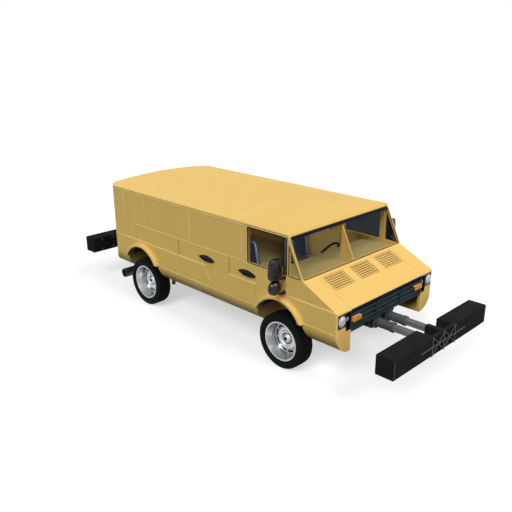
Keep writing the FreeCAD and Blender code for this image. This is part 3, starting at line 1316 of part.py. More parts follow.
def main():
    """Build every node."""
    left_fender = fender()
    save("fender_left", left_fender)
    save("fender_right", mirrored(left_fender))
    frame = fuse([cab_frame(), central_web(), inner_mirror()])
    frame = add_fixed_knuckles(frame, CAB_HINGES)
    frame = mirrored(add_fixed_knuckles(mirrored(frame), CAB_HINGES))
    frame = add_fixed_knuckles(frame, LID_HINGES)
    post = b_post()
    save("cab_frame", Part.makeCompound(frame.Solids + [post, mirrored(post)]))
    save("roof", roof())
    save("hood_lid", hood_lid())
    for name, build in (("cab_door", cab_door), ("side_door", side_door), ("rear_quarter", rear_quarter),
                        ("rear_door", rear_door), ("door_glass", door_glass), ("mirror", mirror),
                        ("knuckle", knuckle)):
        left = build()
        save(name + "_left", left)
        save(name + "_right", mirrored(left))
    cab_handle = handle(at(CAB_HANDLE_AT))
    save("door_handles_left", cab_handle)
    save("door_handles_right", mirrored(cab_handle))
    save("side_handles", pair(handle(at(SIDE_HANDLE_AT))))
    save("sills", sills())
    save("wells_front", pair(wheel_well(FRONT_AXLE_Y)))
    save("wells_rear", pair(wheel_well(REAR_AXLE_Y)))
    save("cab_floor", cab_floor())
    save("load_floor", load_floor())
    save("firewall", firewall())
    save("windscreen", windscreen())
    save("quarter_glass", pair(quarter_glass()))
    save("grille", grille().cut(indicator()).cut(mirrored(indicator())))
    save("indicators", pair(indicator()))
    save("headlamps", pair(headlamp()))
    save("lamp_lenses", pair(lamp_lens()))
    save("tail_lamps", pair(tail_lamp()))
    front_bumper = bumper()
    save("bumper_front", front_bumper)
    save("bumper_rear", turned_end(front_bumper))
    rods = pair(rod())
    save("rods_front", rods)
    save("rods_rear", turned_end(rods))
    struts = pair(strut())
    save("struts_front", struts)
    save("struts_rear", turned_end(struts))
    save("rails", rails())
    save("cross_members", cross_members())
    save("front_axle", front_axle())
    save("rear_axle", rear_axle())
    tyre = tyre_solid()
    rim = rim_solid()
    for corner, side, axle_y in (("fl", 1, FRONT_AXLE_Y), ("fr", -1, FRONT_AXLE_Y),
                                 ("rl", 1, REAR_AXLE_Y), ("rr", -1, REAR_AXLE_Y)):
        save("tyre_" + corner, place_wheel(tyre, side, axle_y))
        save("rim_" + corner, place_wheel(rim, side, axle_y))
    save("engine", engine())
    save("exhaust", exhaust())
    save("dampers", pair(damper_leg(DAMPER_RADIUS)))
    save("dashboard", dashboard())
    save("steering_wheel", steering_wheel())
    save("seat_bases", pair(seat_base()))
    save("seat_cushions", pair(seat_cushion()))


main()
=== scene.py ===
"""Looks of a wedge-nosed panel van: finishes, wheels, trim, lamps, seats, studio and camera.

Metres throughout, in the part's own frame: +Z up, nose towards -Y, the van's right side at -X.
"""

import json
import logging
import math
from dataclasses import dataclass
from enum import Enum
from typing import Iterable, Optional, Sequence

import bmesh
import bpy
import numpy as np
from mathutils import Euler, Matrix, Vector


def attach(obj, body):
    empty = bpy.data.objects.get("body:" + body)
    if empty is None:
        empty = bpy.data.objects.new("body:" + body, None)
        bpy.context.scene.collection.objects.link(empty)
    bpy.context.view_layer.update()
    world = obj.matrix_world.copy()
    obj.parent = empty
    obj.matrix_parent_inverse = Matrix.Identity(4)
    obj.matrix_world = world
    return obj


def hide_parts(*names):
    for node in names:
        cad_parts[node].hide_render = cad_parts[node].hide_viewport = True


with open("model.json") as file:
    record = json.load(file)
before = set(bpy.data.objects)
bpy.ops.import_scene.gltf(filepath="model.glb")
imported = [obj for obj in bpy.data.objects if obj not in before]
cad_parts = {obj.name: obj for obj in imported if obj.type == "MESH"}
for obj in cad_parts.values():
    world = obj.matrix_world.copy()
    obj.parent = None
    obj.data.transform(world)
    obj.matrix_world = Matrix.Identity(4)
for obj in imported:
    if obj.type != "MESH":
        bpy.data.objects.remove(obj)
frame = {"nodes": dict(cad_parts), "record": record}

Node = bpy.types.Node
Socket = bpy.types.NodeSocket
Sockets = bpy.types.bpy_prop_collection
Colour = tuple[float, float, float]
Point = tuple[float, float, float]
Pair = tuple[float, float]
Places = float | np.ndarray
Line = tuple[Pair, ...]

LOG = logging.getLogger("panel_van")
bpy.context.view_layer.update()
NOSE_Y = -2.15
HOOD_LOW_Z = 0.942
HOOD_RISE = 0.234
HOOD_RUN = 0.482
SIDE_X = 0.937
AXLE_Z = 0.341
AXLE_Y = 1.325
SIDES = ((1, "l", "left"), (-1, "r", "right"))


# Surfaces


@dataclass(frozen=True)
class Surface:
    """A grid of points, with whether its rows and its columns close on themselves."""

    points: np.ndarray
    rows_closed: bool = False
    columns_closed: bool = False

    def quads(self, first: int) -> np.ndarray:
        """Corner numbers of every cell of the grid.

        Args:
            first: number of the grid's first point in the mesh.

        Returns:
            Whole numbers, four to a cell.
        """
        rows, columns = self.points.shape[:2]
        row = np.arange(rows if self.rows_closed else rows - 1)
        column = np.arange(columns if self.columns_closed else columns - 1)
        r, c = np.meshgrid(row, column, indexing="ij")
        below = (r + 1) % rows
        beside = (c + 1) % columns
        cells = np.stack([r * columns + c, below * columns + c, below * columns + beside, r * columns + beside], -1)
        return cells.reshape(-1, 4) + first

    def mirrored(self) -> "Surface":
        """The same surface on the van's other side."""
        return Surface(self.points * np.array([-1.0, 1.0, 1.0]), self.rows_closed, self.columns_closed)


def unit(vectors: np.ndarray) -> np.ndarray:
    """Vectors of length one, from vectors in the last axis."""
    return vectors / np.maximum(np.linalg.norm(vectors, axis=-1, keepdims=True), 1e-12)


def track(x: Places, y: Places, z: Places) -> np.ndarray:
    """Points in a row, from their coordinates, each one number for all or one for each."""
    return np.stack(np.broadcast_arrays(*(np.asarray(v, float) for v in (x, y, z))), -1)


def turned(profile: Sequence[Pair], centre: Point, axis: Point, count: int = 32,
           ring: bool = False) -> Surface:
    """A profile turned about an axis.

    A point is the centre, plus its distance along the axis, plus its radius times
    cosine of the angle on one cross direction and sine on the other.

    Args:
        profile: pairs of distance along the axis and radius.
        centre: where the axis starts.
        axis: direction of the axis.
        count: points round the turn.
        ring: whether the profile's last point joins its first.

    Returns:
        The turned surface, closed round the axis.
    """
    line = np.array(profile, float)
    a = unit(np.array(axis, float))
    guide = np.array([0.0, 0.0, 1.0]) if abs(a[2]) < 0.9 else np.array([1.0, 0.0, 0.0])
    u = unit(np.cross(a, guide))
    w = np.cross(a, u)
    t = np.linspace(0, 2 * np.pi, count, endpoint=False)[:, None, None]
    spoke = np.cos(t) * u + np.sin(t) * w
    points = np.array(centre, float) + line[None, :, :1] * a + line[None, :, 1:] * spoke
    return Surface(points, rows_closed=True, columns_closed=ring)


def rounded_block(low: Point, high: Point, hardness: float = 0.22, count: int = 20) -> Surface:
    """A block with rounded edges.

    Each coordinate is the middle plus half the size times signed powers of the sines
    and cosines of two angles; the smaller the power, the harder the edges.

    Args:
        low: lowest corner.
        high: highest corner.
        hardness: the power, from 0 for a sharp block to 1 for an egg.
        count: points from pole to pole; there are twice as many round.

    Returns:
        The block's closed skin.
    """
    lo, hi = np.array(low, float), np.array(high, float)
    v = np.linspace(-np.pi / 2, np.pi / 2, count)[:, None]
    u = np.linspace(-np.pi, np.pi, 2 * count, endpoint=False)[None, :]

    def power(value: np.ndarray) -> np.ndarray:
        """Signed power of a sine or cosine."""
        return np.sign(value) * np.abs(value) ** hardness

    form = np.stack([power(np.cos(v)) * power(np.cos(u)), power(np.cos(v)) * power(np.sin(u)),
                     power(np.sin(v)) * np.ones_like(u)], -1)
    return Surface((lo + hi) / 2 + form * (hi - lo) / 2, columns_closed=True)


def carried(path: np.ndarray, out: np.ndarray, profile: Sequence[Pair], closed: bool) -> Surface:
    """A closed profile carried along a path.

    A point is the path's point, plus the profile's first number on the side direction
    and its second on the outward one; side is the path's direction crossed with outward.

    Args:
        path: points of the path.
        out: outward direction, one for the path or one for each point.
        profile: the profile's points, first to last and round again.
        closed: whether the path closes on itself; an open one is capped at its ends.

    Returns:
        The carried surface.
    """
    before, after = np.roll(path, 1, axis=0), np.roll(path, -1, axis=0)
    if not closed:
        before[0], after[-1] = path[0], path[-1]
    along = unit(after - before)
    outward = np.broadcast_to(np.array(out, float), path.shape)
    side = unit(np.cross(along, outward))
    outward = np.cross(side, along)
    shape = np.array(profile, float)
    points = path[:, None] + shape[None, :, :1] * side[:, None] + shape[None, :, 1:] * outward[:, None]
    if not closed:
        first = np.repeat(points[:1].mean(axis=1, keepdims=True), len(shape), axis=1)
        last = np.repeat(points[-1:].mean(axis=1, keepdims=True), len(shape), axis=1)
        points = np.concatenate([first, points, last])
    return Surface(points, rows_closed=closed, columns_closed=True)


def bend(before: np.ndarray, corner: np.ndarray, after: np.ndarray, steps: int) -> np.ndarray:
    """Quadratic curves that leave one point, lean on a corner and end in another.

    With t from 0 to 1 a point is (1 - t) squared of the first, 2 t (1 - t) of the
    corner and t squared of the last.

    Args:
        before: where each curve starts.
        corner: the corner that it rounds.
        after: where it ends.
        steps: points on each curve.

    Returns:
        The curves' points, in a new axis before the last.
    """
    t = np.linspace(0, 1, steps)[:, None]
    start, middle, end = (np.expand_dims(point, -2) for point in (before, corner, after))
    return (1 - t) ** 2 * start + 2 * t * (1 - t) * middle + t ** 2 * end


def round_corners(corners: Sequence[Point], radius: float, steps: int = 6) -> np.ndarray:
    """A closed path through corners that are rounded.

    Near a corner the path is a quadratic curve between two points at the radius from it.

    Args:
        corners: the corners in order.
        radius: how far from the corner the round starts.
        steps: points on each round.

    Returns:
        The path's points.
    """
    c = np.array(corners, float)
    back = c + unit(np.roll(c, 1, axis=0) - c) * radius
    forth = c + unit(np.roll(c, -1, axis=0) - c) * radius
    return bend(back, c, forth, steps).reshape(-1, 3)


def ring_profile(width: float, height: float, count: int = 8) -> list[Pair]:
    """An oval bead's profile: width across and height outwards, half of it above the path."""
    t = np.linspace(0, 2 * np.pi, count, endpoint=False)
    return list(zip(np.cos(t) * width / 2, np.sin(t) * height / 2))


def strip_profile(half: float, thin: float) -> list[Pair]:
    """A flat strip's profile, from half its width and half its thickness."""
    return [(-half, -thin), (half, -thin), (half, thin), (-half, thin)]


def placed(name: str, data: bpy.types.ID) -> bpy.types.Object:
    """A new object in the scene, at the origin.

    Args:
        name: the object's name.
        data: its mesh, camera or light.

    Returns:
        The object.
    """
    made = bpy.data.objects.new(name, data)
    bpy.context.scene.collection.objects.link(made)
    return made


def piece(name: str, surfaces: Iterable[Surface], finish: "Finish", body: str,
          sharp: float = 40.0) -> bpy.types.Object:
    """One object from several surfaces.

    Args:
        name: the piece's name.
        surfaces: its surfaces.
        finish: what it is dressed in.
        body: the body that carries it.
        sharp: edges that turn by more than this many degrees stay sharp.

    Returns:
        The new object, at the origin.
    """
    parts = list(surfaces)
    counts = [s.points.shape[0] * s.points.shape[1] for s in parts]
    firsts = np.cumsum([0] + counts[:-1])
    points = np.concatenate([s.points.reshape(-1, 3) for s in parts])
    quads = np.concatenate([s.quads(int(first)) for s, first in zip(parts, firsts)])
    mesh = bpy.data.meshes.new(name)
    mesh.from_pydata(points.tolist(), [], quads.tolist())
    cells = bmesh.new()
    cells.from_mesh(mesh)
    bmesh.ops.remove_doubles(cells, verts=cells.verts, dist=2e-6)
    bmesh.ops.dissolve_degenerate(cells, edges=cells.edges, dist=1e-6)
    bmesh.ops.recalc_face_normals(cells, faces=cells.faces)
    cells.to_mesh(mesh)
    cells.free()
    mesh.shade_smooth()
    mesh.set_sharp_from_angle(angle=math.radians(sharp))
    made = placed(name, mesh)
    mesh.materials.append(finish.material())
    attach(made, body)
    LOG.info("piece %s: %d faces on %s", name, len(mesh.polygons), body)
    return made


# Finishes


def shade(red: float, green: float, blue: float) -> Colour:
    """A colour written as on a screen, 0 to 255, in the linear values that a shader takes.

    Args:
        red: amount of red.
        green: amount of green.
        blue: amount of blue.

    Returns:
        Red, green and blue, each 0 to 1.
    """
    values = np.array([red, green, blue]) / 255.0
    linear = np.where(values <= 0.04045, values / 12.92, ((values + 0.055) / 1.055) ** 2.4)
    return tuple(float(v) for v in linear)


class Texture(Enum):
    """The small relief of a surface."""

    SPRAYED = "sprayed"
    MOULDED = "moulded"
    BRUSHED = "brushed"
    CAST = "cast"
    WOVEN = "woven"
    POLISHED = "polished"


class Tree:
    """A node tree with short calls for what the finishes need."""

    def __init__(self, tree: bpy.types.NodeTree) -> None:
        """Keep the tree."""
        self.tree = tree

    def node(self, kind: str, **settings: object) -> Node:
        """A new node of a kind, with its settings.

        Args:
            kind: the node's type name.
            settings: attributes to set on it.

        Returns:
            The node.
        """
        made = self.tree.nodes.new(kind)
        for key, value in settings.items():
            setattr(made, key, value)
        return made

    def link(self, start: Socket, end: Socket) -> None:
        """Join an output to an input."""
        self.tree.links.new(start, end)

    def math(self, operation: str, *values: object) -> Socket:
        """A Math node on numbers or sockets, and its result.

        Args:
            operation: what the node works out.
            values: its inputs, numbers or sockets.

        Returns:
            The result's socket.
        """
        made = self.node("ShaderNodeMath", operation=operation)
        for place, value in enumerate(values):
            if isinstance(value, Socket):
                self.link(value, made.inputs[place])
            else:
                made.inputs[place].default_value = value
        return made.outputs[0]

    def any(self, first: Socket, *others: Socket) -> Socket:
        """The greatest of several masks.

        Args:
            first: a mask.
            others: the other masks.

        Returns:
            A mask as high as the highest of them.
        """
        for mask in others:
            first = self.math("MAXIMUM", first, mask)
        return first

    def mix(self, mask: Socket, first: object, second: object) -> Socket:
        """Two colours mixed by a mask.

        Args:
            mask: nought for the first colour, one for the second.
            first: a colour or a socket.
            second: a colour or a socket.

        Returns:
            The mixed colour's socket.
        """
        made = self.node("ShaderNodeMix", data_type="RGBA")
        self.link(mask, made.inputs["Factor"])
        for socket, value in ((made.inputs[6], first), (made.inputs[7], second)):
            if isinstance(value, Socket):
                self.link(value, socket)
            else:
                socket.default_value = (*value, 1.0)
        return made.outputs[2]

    def place(self) -> Socket:
        """Where a point lies on its object."""
        return self.node("ShaderNodeTexCoord").outputs["Object"]

    def split(self, vector: Socket) -> Sockets:
        """A vector's numbers, found by the names X, Y and Z.

        Args:
            vector: the vector's socket.

        Returns:
            The sockets X, Y and Z.
        """
        made = self.node("ShaderNodeSeparateXYZ")
        self.link(vector, made.inputs[0])
        return made.outputs

    def noise(self, vector: Socket, scale: Socket, detail: float) -> Socket:
        """Noise over a vector at a scale, with so much detail.

        Args:
            vector: where the noise is read.
            scale: how fine it is.
            detail: how many finer layers it adds.

        Returns:
            The noise's socket.
        """
        made = self.node("ShaderNodeTexNoise")
        made.inputs["Detail"].default_value = detail
        self.link(vector, made.inputs["Vector"])
        self.link(scale, made.inputs["Scale"])
        return made.outputs["Fac"]

    def span(self, value: Socket, low: float, high: float, start: float = 0.0,
             end: float = 1.0) -> Socket:
        """A value from start to end spread over low to high.

        Args:
            value: the value's socket.
            low: the result at the start.
            high: the result at the end.
            start: the value that gives the low result.
            end: the value that gives the high one.

        Returns:
            The result's socket.
        """
        made = self.node("ShaderNodeMapRange")
        self.link(value, made.inputs["Value"])
        made.inputs["From Min"].default_value = start
        made.inputs["From Max"].default_value = end
        made.inputs["To Min"].default_value = low
        made.inputs["To Max"].default_value = high
        return made.outputs["Result"]


class Effects:
    """The node groups that several finishes share, each built once."""

    @staticmethod
    def group(name: str, inputs: dict[str, float], outputs: Sequence[str]) -> Optional[tuple]:
        """A new group with named sockets, or None where it exists.

        Args:
            name: the group's name.
            inputs: number inputs and their usual values.
            outputs: number outputs.

        Returns:
            The tree's helper, its input node and its output node.
        """
        if name in bpy.data.node_groups:
            return None
        tree = bpy.data.node_groups.new(name, "ShaderNodeTree")
        for label, value in inputs.items():
            socket = tree.interface.new_socket(name=label, in_out="INPUT", socket_type="NodeSocketFloat")
            socket.default_value = value
        for label in outputs:
            tree.interface.new_socket(name=label, in_out="OUTPUT", socket_type="NodeSocketFloat")
        helper = Tree(tree)
        return helper, helper.node("NodeGroupInput"), helper.node("NodeGroupOutput")

    @classmethod
    def edges(cls) -> bpy.types.NodeTree:
        """Mask of edges for a painted highlight: one less the rounded normal's agreement with the face's own.

        Returns:
            The group's tree.
        """
        made = cls.group("painted_edge_highlight", {"Width": 0.003, "Strength": 6.0}, ["Mask"])
        if made:
            tree, start, end = made
            rounded = tree.node("ShaderNodeBevel", samples=4)
            tree.link(start.outputs["Width"], rounded.inputs["Radius"])
            own = tree.node("ShaderNodeNewGeometry")
            dot = tree.node("ShaderNodeVectorMath", operation="DOT_PRODUCT")
            tree.link(rounded.outputs[0], dot.inputs[0])
            tree.link(own.outputs["Normal"], dot.inputs[1])
            away = tree.math("SUBTRACT", 1.0, dot.outputs["Value"])
            strong = tree.math("MULTIPLY", away, start.outputs["Strength"])
            tree.link(tree.math("MINIMUM", strong, 1.0), end.inputs["Mask"])
        return bpy.data.node_groups["painted_edge_highlight"]

    @classmethod
    def grain(cls) -> bpy.types.NodeTree:
        """Fine relief from one noise and slow patches from another.

        Returns:
            The group's tree.
        """
        made = cls.group("grain", {"Scale": 400.0, "Patch": 3.0, "Stretch": 1.0}, ["Height", "Patches"])
        if made:
            tree, start, end = made
            place = tree.place()
            at = tree.split(place)
            join = tree.node("ShaderNodeCombineXYZ")
            tree.link(tree.math("MULTIPLY", at["X"], start.outputs["Stretch"]), join.inputs["X"])
            tree.link(at["Y"], join.inputs["Y"])
            tree.link(at["Z"], join.inputs["Z"])
            tree.link(tree.noise(join.outputs[0], start.outputs["Scale"], 3.0), end.inputs["Height"])
            slow = tree.noise(place, start.outputs["Patch"], 4.0)
            tree.link(tree.span(slow, 0.0, 1.0, 0.35, 0.65), end.inputs["Patches"])
        return bpy.data.node_groups["grain"]

    @classmethod
    def dust(cls) -> bpy.types.NodeTree:
        """Low-down mask: it grows lower down, broken up by noise, and most where the surface faces the road; it is
        painted shade on the body paint and dusting on the chassis and axle.

        Returns:
            The group's tree.
        """
        made = cls.group("dust_and_underside_shade", {"Top": 0.75, "Scale": 9.0}, ["Mask"])
        if made:
            tree, start, end = made
            place = tree.place()
            low = tree.math("SUBTRACT", start.outputs["Top"], tree.split(place)["Z"])
            noise = tree.noise(place, start.outputs["Scale"], 5.0)
            cloud = tree.math("MULTIPLY", tree.math("MAXIMUM", low, 0.0), noise)
            facing = tree.split(tree.node("ShaderNodeNewGeometry").outputs["Normal"])
            # Faces that look down at the road: painted shade on the body paint.
            under = tree.span(facing["Z"], 0.0, 0.85, -0.05, -0.75)
            dust_plus_shade = tree.math("MAXIMUM", tree.math("MULTIPLY", cloud, 2.0), under)
            tree.link(tree.math("MINIMUM", dust_plus_shade, 1.0), end.inputs["Mask"])
        return bpy.data.node_groups["dust_and_underside_shade"]

    @classmethod
    def weave(cls) -> bpy.types.NodeTree:
        """Cloth weave: a sine across times a sine along.

        Returns:
            The group's tree.
        """
        made = cls.group("cloth_weave", {"Threads": 500.0}, ["Height"])
        if made:
            tree, start, end = made
            at = tree.split(tree.place())
            along = tree.math("ADD", at["Y"], at["Z"])
            warp = tree.math("SINE", tree.math("MULTIPLY", at["X"], start.outputs["Threads"]))
            weft = tree.math("SINE", tree.math("MULTIPLY", along, start.outputs["Threads"]))
            both = tree.math("MULTIPLY", warp, weft)
            tree.link(tree.span(both, 0.0, 1.0, -1.0, 1.0), end.inputs["Height"])
        return bpy.data.node_groups["cloth_weave"]


RELIEF = {Texture.SPRAYED: (260.0, 1.0, 0.0006), Texture.MOULDED: (900.0, 1.0, 0.0012),
          Texture.BRUSHED: (700.0, 0.04, 0.0006), Texture.CAST: (220.0, 1.0, 0.003),
          Texture.WOVEN: (900.0, 1.0, 0.001), Texture.POLISHED: (60.0, 1.0, 0.00015)}


@dataclass(frozen=True)
class Finish:
    """A finish: its colours, how rough and how metallic it is, its relief, a lighter edge colour that is a painted
    highlight, and a low-down colour that is dusting on some finishes and painted shade on others.
    """

    name: str
    colour: Colour
    patches: Colour
    texture: Texture = Texture.MOULDED
    roughness: float = 0.5
    spread: float = 0.08
    metallic: float = 0.0
    coat: float = 0.0
    coat_roughness: float = 0.08
    specular: float = 0.5
    # Lighter colour on the edges: a painted highlight.
    edge: Optional[Colour] = None
    edge_width: float = 0.003
    # Low-down colour: painted shade on the body paint, dusting on the chassis and axle.
    dust: Optional[Colour] = None
    patch_scale: float = 3.0
    bump: float = 0.5

    def material(self) -> bpy.types.Material:
        """The finish's material, built the first time.

        Returns:
            The material.
        """
        label = "look_" + self.name
        if label in bpy.data.materials:
            return bpy.data.materials[label]
        made = bpy.data.materials.new(label)
        made.use_nodes = True
        tree = Tree(made.node_tree)
        shader = made.node_tree.nodes["Principled BSDF"]
        shader.inputs["Metallic"].default_value = self.metallic
        shader.inputs["Coat Weight"].default_value = self.coat
        shader.inputs["Coat Roughness"].default_value = self.coat_roughness
        shader.inputs["Specular IOR Level"].default_value = self.specular
        grain = tree.node("ShaderNodeGroup", node_tree=Effects.grain())
        scale, stretch, depth = RELIEF[self.texture]
        grain.inputs["Scale"].default_value = scale
        grain.inputs["Stretch"].default_value = stretch
        grain.inputs["Patch"].default_value = self.patch_scale
        colour = self.paint(tree, grain)
        # Edges take the edge colour as a painted highlight.
        if self.edge:
            highlight_edges = tree.node("ShaderNodeGroup", node_tree=Effects.edges())
            highlight_edges.inputs["Width"].default_value = self.edge_width
            colour = tree.mix(highlight_edges.outputs["Mask"], colour, self.edge)
        # Low-down colour: painted shade on the body paint, dusting on the chassis and axle.
        if self.dust:
            dust = tree.node("ShaderNodeGroup", node_tree=Effects.dust())
            colour = tree.mix(dust.outputs["Mask"], colour, self.dust)
        tree.link(colour, shader.inputs["Base Color"])
        low, high = self.roughness - self.spread, self.roughness + self.spread
        tree.link(tree.span(grain.outputs["Patches"], low, high), shader.inputs["Roughness"])
        bump = tree.node("ShaderNodeBump")
        bump.inputs["Distance"].default_value = depth
        bump.inputs["Strength"].default_value = self.bump
        tree.link(self.height(tree, grain), bump.inputs["Height"])
        tree.link(bump.outputs[0], shader.inputs["Normal"])
        self.extra(tree, shader)
        return made

    def paint(self, tree: Tree, grain: Node) -> Socket:
        """The colour before the painted edge highlight and the low-down colour: two close tones in slow patches."""
        return tree.mix(grain.outputs["Patches"], self.colour, self.patches)

    def height(self, tree: Tree, grain: Node) -> Socket:
        """The relief that bends the light."""
        return grain.outputs["Height"]

    def extra(self, tree: Tree, shader: Node) -> None:
        """What a special finish adds to the shader."""


@dataclass(frozen=True)
class Glass(Finish):
    """Thin glazing: clear when looked through squarely, denser at a glance."""

    clear: float = 0.12
    dense: float = 0.75
    blend: float = 0.25

    def thin(self, tree: Tree) -> Socket:
        """How much the glass hides: more of it at a shallow angle.

        Args:
            tree: the material's tree.

        Returns:
            A socket for the shader's alpha.
        """
        facing = tree.node("ShaderNodeLayerWeight")
        facing.inputs["Blend"].default_value = self.blend
        return tree.span(facing.outputs["Facing"], self.clear, self.dense)

    def extra(self, tree: Tree, shader: Node) -> None:
        """Let light through."""
        tree.link(self.thin(tree), shader.inputs["Alpha"])


@dataclass(frozen=True)
class Pane(Glass):
    """Window glass that lets the light of the day in, with painted shade that makes a side pane look dark from
    across the cab.
    """

    # How far the painted shade hides a side pane seen from across the cab.
    tint: float = 0.972

    def extra(self, tree: Tree, shader: Node) -> None:
        """Dense with painted shade where the eye meets a side pane's outer face from within, else as thin glass.

        The outer face met from within is a back face whose shown normal points at the
        middle of the van: the product of place and normal across the van is below zero.

        Args:
            tree: the material's tree.
            shader: its main shader.
        """
        form = tree.node("ShaderNodeNewGeometry")
        normal = tree.split(form.outputs["True Normal"])["X"]
        inward = tree.math("LESS_THAN", tree.math("MULTIPLY", tree.split(tree.place())["X"], normal), -0.5)
        eye = tree.node("ShaderNodeLightPath").outputs["Is Camera Ray"]
        within = tree.math("MULTIPLY", tree.math("MULTIPLY", inward, form.outputs["Backfacing"]), eye)
        hidden = tree.math("MAXIMUM", self.thin(tree), tree.math("MULTIPLY", within, self.tint))
        tree.link(hidden, shader.inputs["Alpha"])


@dataclass(frozen=True)
class Fluted(Glass):
    """Lamp glass with moulded flutes across it."""

    pitch: float = 0.008

    def height(self, tree: Tree, grain: Node) -> Socket:
        """Upright flutes: a sine of the place across the van."""
        at = tree.split(tree.place())
        return tree.math("SINE", tree.math("MULTIPLY", at["X"], 2 * math.pi / self.pitch))


@dataclass(frozen=True)
class Marked(Finish):
    """A finish with a second colour on marks whose places follow from the object's coordinates."""

    second: Colour = (0.004, 0.004, 0.005)

    def paint(self, tree: Tree, grain: Node) -> Socket:
        """The usual tones, and the second colour on the marks."""
        return tree.mix(self.marks(tree, tree.split(tree.place())), super().paint(tree, grain), self.second)

    def marks(self, tree: Tree, at: Sockets) -> Socket:
        """Mask of the marks, from the places across, along and up."""
        raise NotImplementedError


@dataclass(frozen=True)
class Ribbed(Marked):
    """Lamp plastic with moulded cells that look darker in their middles."""

    pitch: float = 0.03

    def marks(self, tree: Tree, at: Sockets) -> Socket:
        """The cells' middles, by a sine of the place across the van."""
        wave = tree.math("SINE", tree.math("MULTIPLY", at["X"], 2 * math.pi / self.pitch))
        return tree.span(wave, 0.0, 0.8, -0.2, 0.8)


@dataclass(frozen=True)
class Banded(Marked):
    """Grille plastic whose top band is a darker moulding."""

    border_z: float = 0.876

    def marks(self, tree: Tree, at: Sockets) -> Socket:
        """What lies above the border height."""
        return tree.math("GREATER_THAN", at["Z"], self.border_z)


@dataclass(frozen=True)
class Braced(Marked):
    """Bumper plastic whose proud braces are painted lighter on their front faces: a painted highlight."""

    face_y: float = 2.8768

    def marks(self, tree: Tree, at: Sockets) -> Socket:
        """What lies past the beam's plain face."""
        return tree.math("GREATER_THAN", tree.math("ABSOLUTE", at["Y"]), self.face_y)


@dataclass(frozen=True)
class Grid(Marked):
    """Lamp glass divided into small prisms by dark lines."""

    pitch: float = 0.017
    line: float = 0.22

    def marks(self, tree: Tree, at: Sockets) -> Socket:
        """The lines between the cells, from the fractions of the places across and up."""
        fractions = [tree.math("FRACT", tree.math("DIVIDE", at[way], self.pitch)) for way in ("X", "Z")]
        return tree.any(*[tree.math("LESS_THAN", fraction, self.line) for fraction in fractions])


@dataclass(frozen=True)
class Jointed(Marked):
    """Paint with pale lines across it at its joints: a painted highlight."""

    joints: tuple[float, ...] = (-0.524, 0.496, 1.466)
    joint_half: float = 0.0026

    def marks(self, tree: Tree, at: Sockets) -> Socket:
        """Where the place along the van is near a joint's."""
        offs = [tree.math("ABSOLUTE", tree.math("SUBTRACT", at["Y"], joint)) for joint in self.joints]
        return tree.any(*[tree.math("LESS_THAN", off, self.joint_half) for off in offs])


@dataclass(frozen=True)
class Cloth(Marked):
    """Woven seat cloth, navy, with a grey painted highlight down each side of a seat."""

    bolster_x: float = 0.14
    stripe: float = 0.018
    seat_x: float = 0.48
    sheen: float = 0.25

    def marks(self, tree: Tree, at: Sockets) -> Socket:
        """The painted highlights, where the place across a seat is near its bolsters'.

        Args:
            tree: the material's tree.
            at: the sockets X, Y and Z of the place.

        Returns:
            The mask's socket.
        """
        across = tree.math("SUBTRACT", tree.math("ABSOLUTE", at["X"]), self.seat_x)
        off = tree.math("SUBTRACT", tree.math("ABSOLUTE", across), self.bolster_x)
        return tree.math("LESS_THAN", tree.math("ABSOLUTE", off), self.stripe)

    def height(self, tree: Tree, grain: Node) -> Socket:
        """The weave."""
        weave = tree.node("ShaderNodeGroup", node_tree=Effects.weave())
        return weave.outputs["Height"]

    def extra(self, tree: Tree, shader: Node) -> None:
        """A little sheen, as cloth has."""
        shader.inputs["Sheen Weight"].default_value = self.sheen


@dataclass(frozen=True)
class WheelMetal(Marked):
    """Bright rim with a dark ring round its disc, its vents and painted shade, and a dark joint round the hub cap.
    """

    vents: int = 9
    vent_inner: float = 0.151
    vent_outer: float = 0.176
    vent_cut: float = -0.7
    joint_inner: float = 0.0635
    joint_outer: float = 0.074

    @staticmethod
    def between(tree: Tree, value: Socket, low: float, high: float) -> Socket:
        """One where a value lies between two numbers."""
        return tree.math("MULTIPLY", tree.math("GREATER_THAN", value, low), tree.math("LESS_THAN", value, high))

    def marks(self, tree: Tree, at: Sockets) -> Socket:
        """A dark ring at the vents' radius, vents and painted shade broken by bright gaps, and the joint, by radius
        and angle from the axle.

        Args:
            tree: the material's tree.
            at: the sockets X, Y and Z of the place.

        Returns:
            The mask's socket.
        """
        lengthwise = tree.math("SUBTRACT", tree.math("ABSOLUTE", at["Y"]), AXLE_Y)
        upright = tree.math("SUBTRACT", at["Z"], AXLE_Z)
        squares = tree.math("ADD", tree.math("MULTIPLY", lengthwise, lengthwise),
                            tree.math("MULTIPLY", upright, upright))
        radius = tree.math("SQRT", squares)
        turn = tree.math("MULTIPLY", tree.math("ARCTAN2", upright, lengthwise), float(self.vents))
        slot = tree.math("GREATER_THAN", tree.math("SINE", turn), self.vent_cut)
        # Dark ring round the disc: vents and painted shade where the disc meets the barrel.
        vents_and_shade = tree.math("MULTIPLY", self.between(tree, radius, self.vent_inner, self.vent_outer), slot)
        joint = self.between(tree, radius, self.joint_inner, self.joint_outer)
        return tree.any(vents_and_shade, joint)


# Body paint: its edge colour is a painted highlight and its low-down colour is painted shade.
SAND = {"colour": shade(229, 190, 109), "patches": shade(227, 188, 107), "texture": Texture.SPRAYED,
        "roughness": 0.5, "spread": 0.02, "specular": 0.06, "edge": shade(240, 205, 132), "edge_width": 0.004,
        "dust": shade(122, 104, 60)}
PAINT = Finish("sand_paint", **SAND)
# Roof paint with pale lines at its joints: painted highlight.
ROOF_PAINT = Jointed("roof_paint", **SAND, second=shade(255, 226, 152))
CAB_PAINT = Finish("cab_paint", shade(192, 174, 114), shade(186, 168, 109), Texture.SPRAYED, 0.55, 0.03,
                   specular=0.05, edge=shade(214, 196, 138))
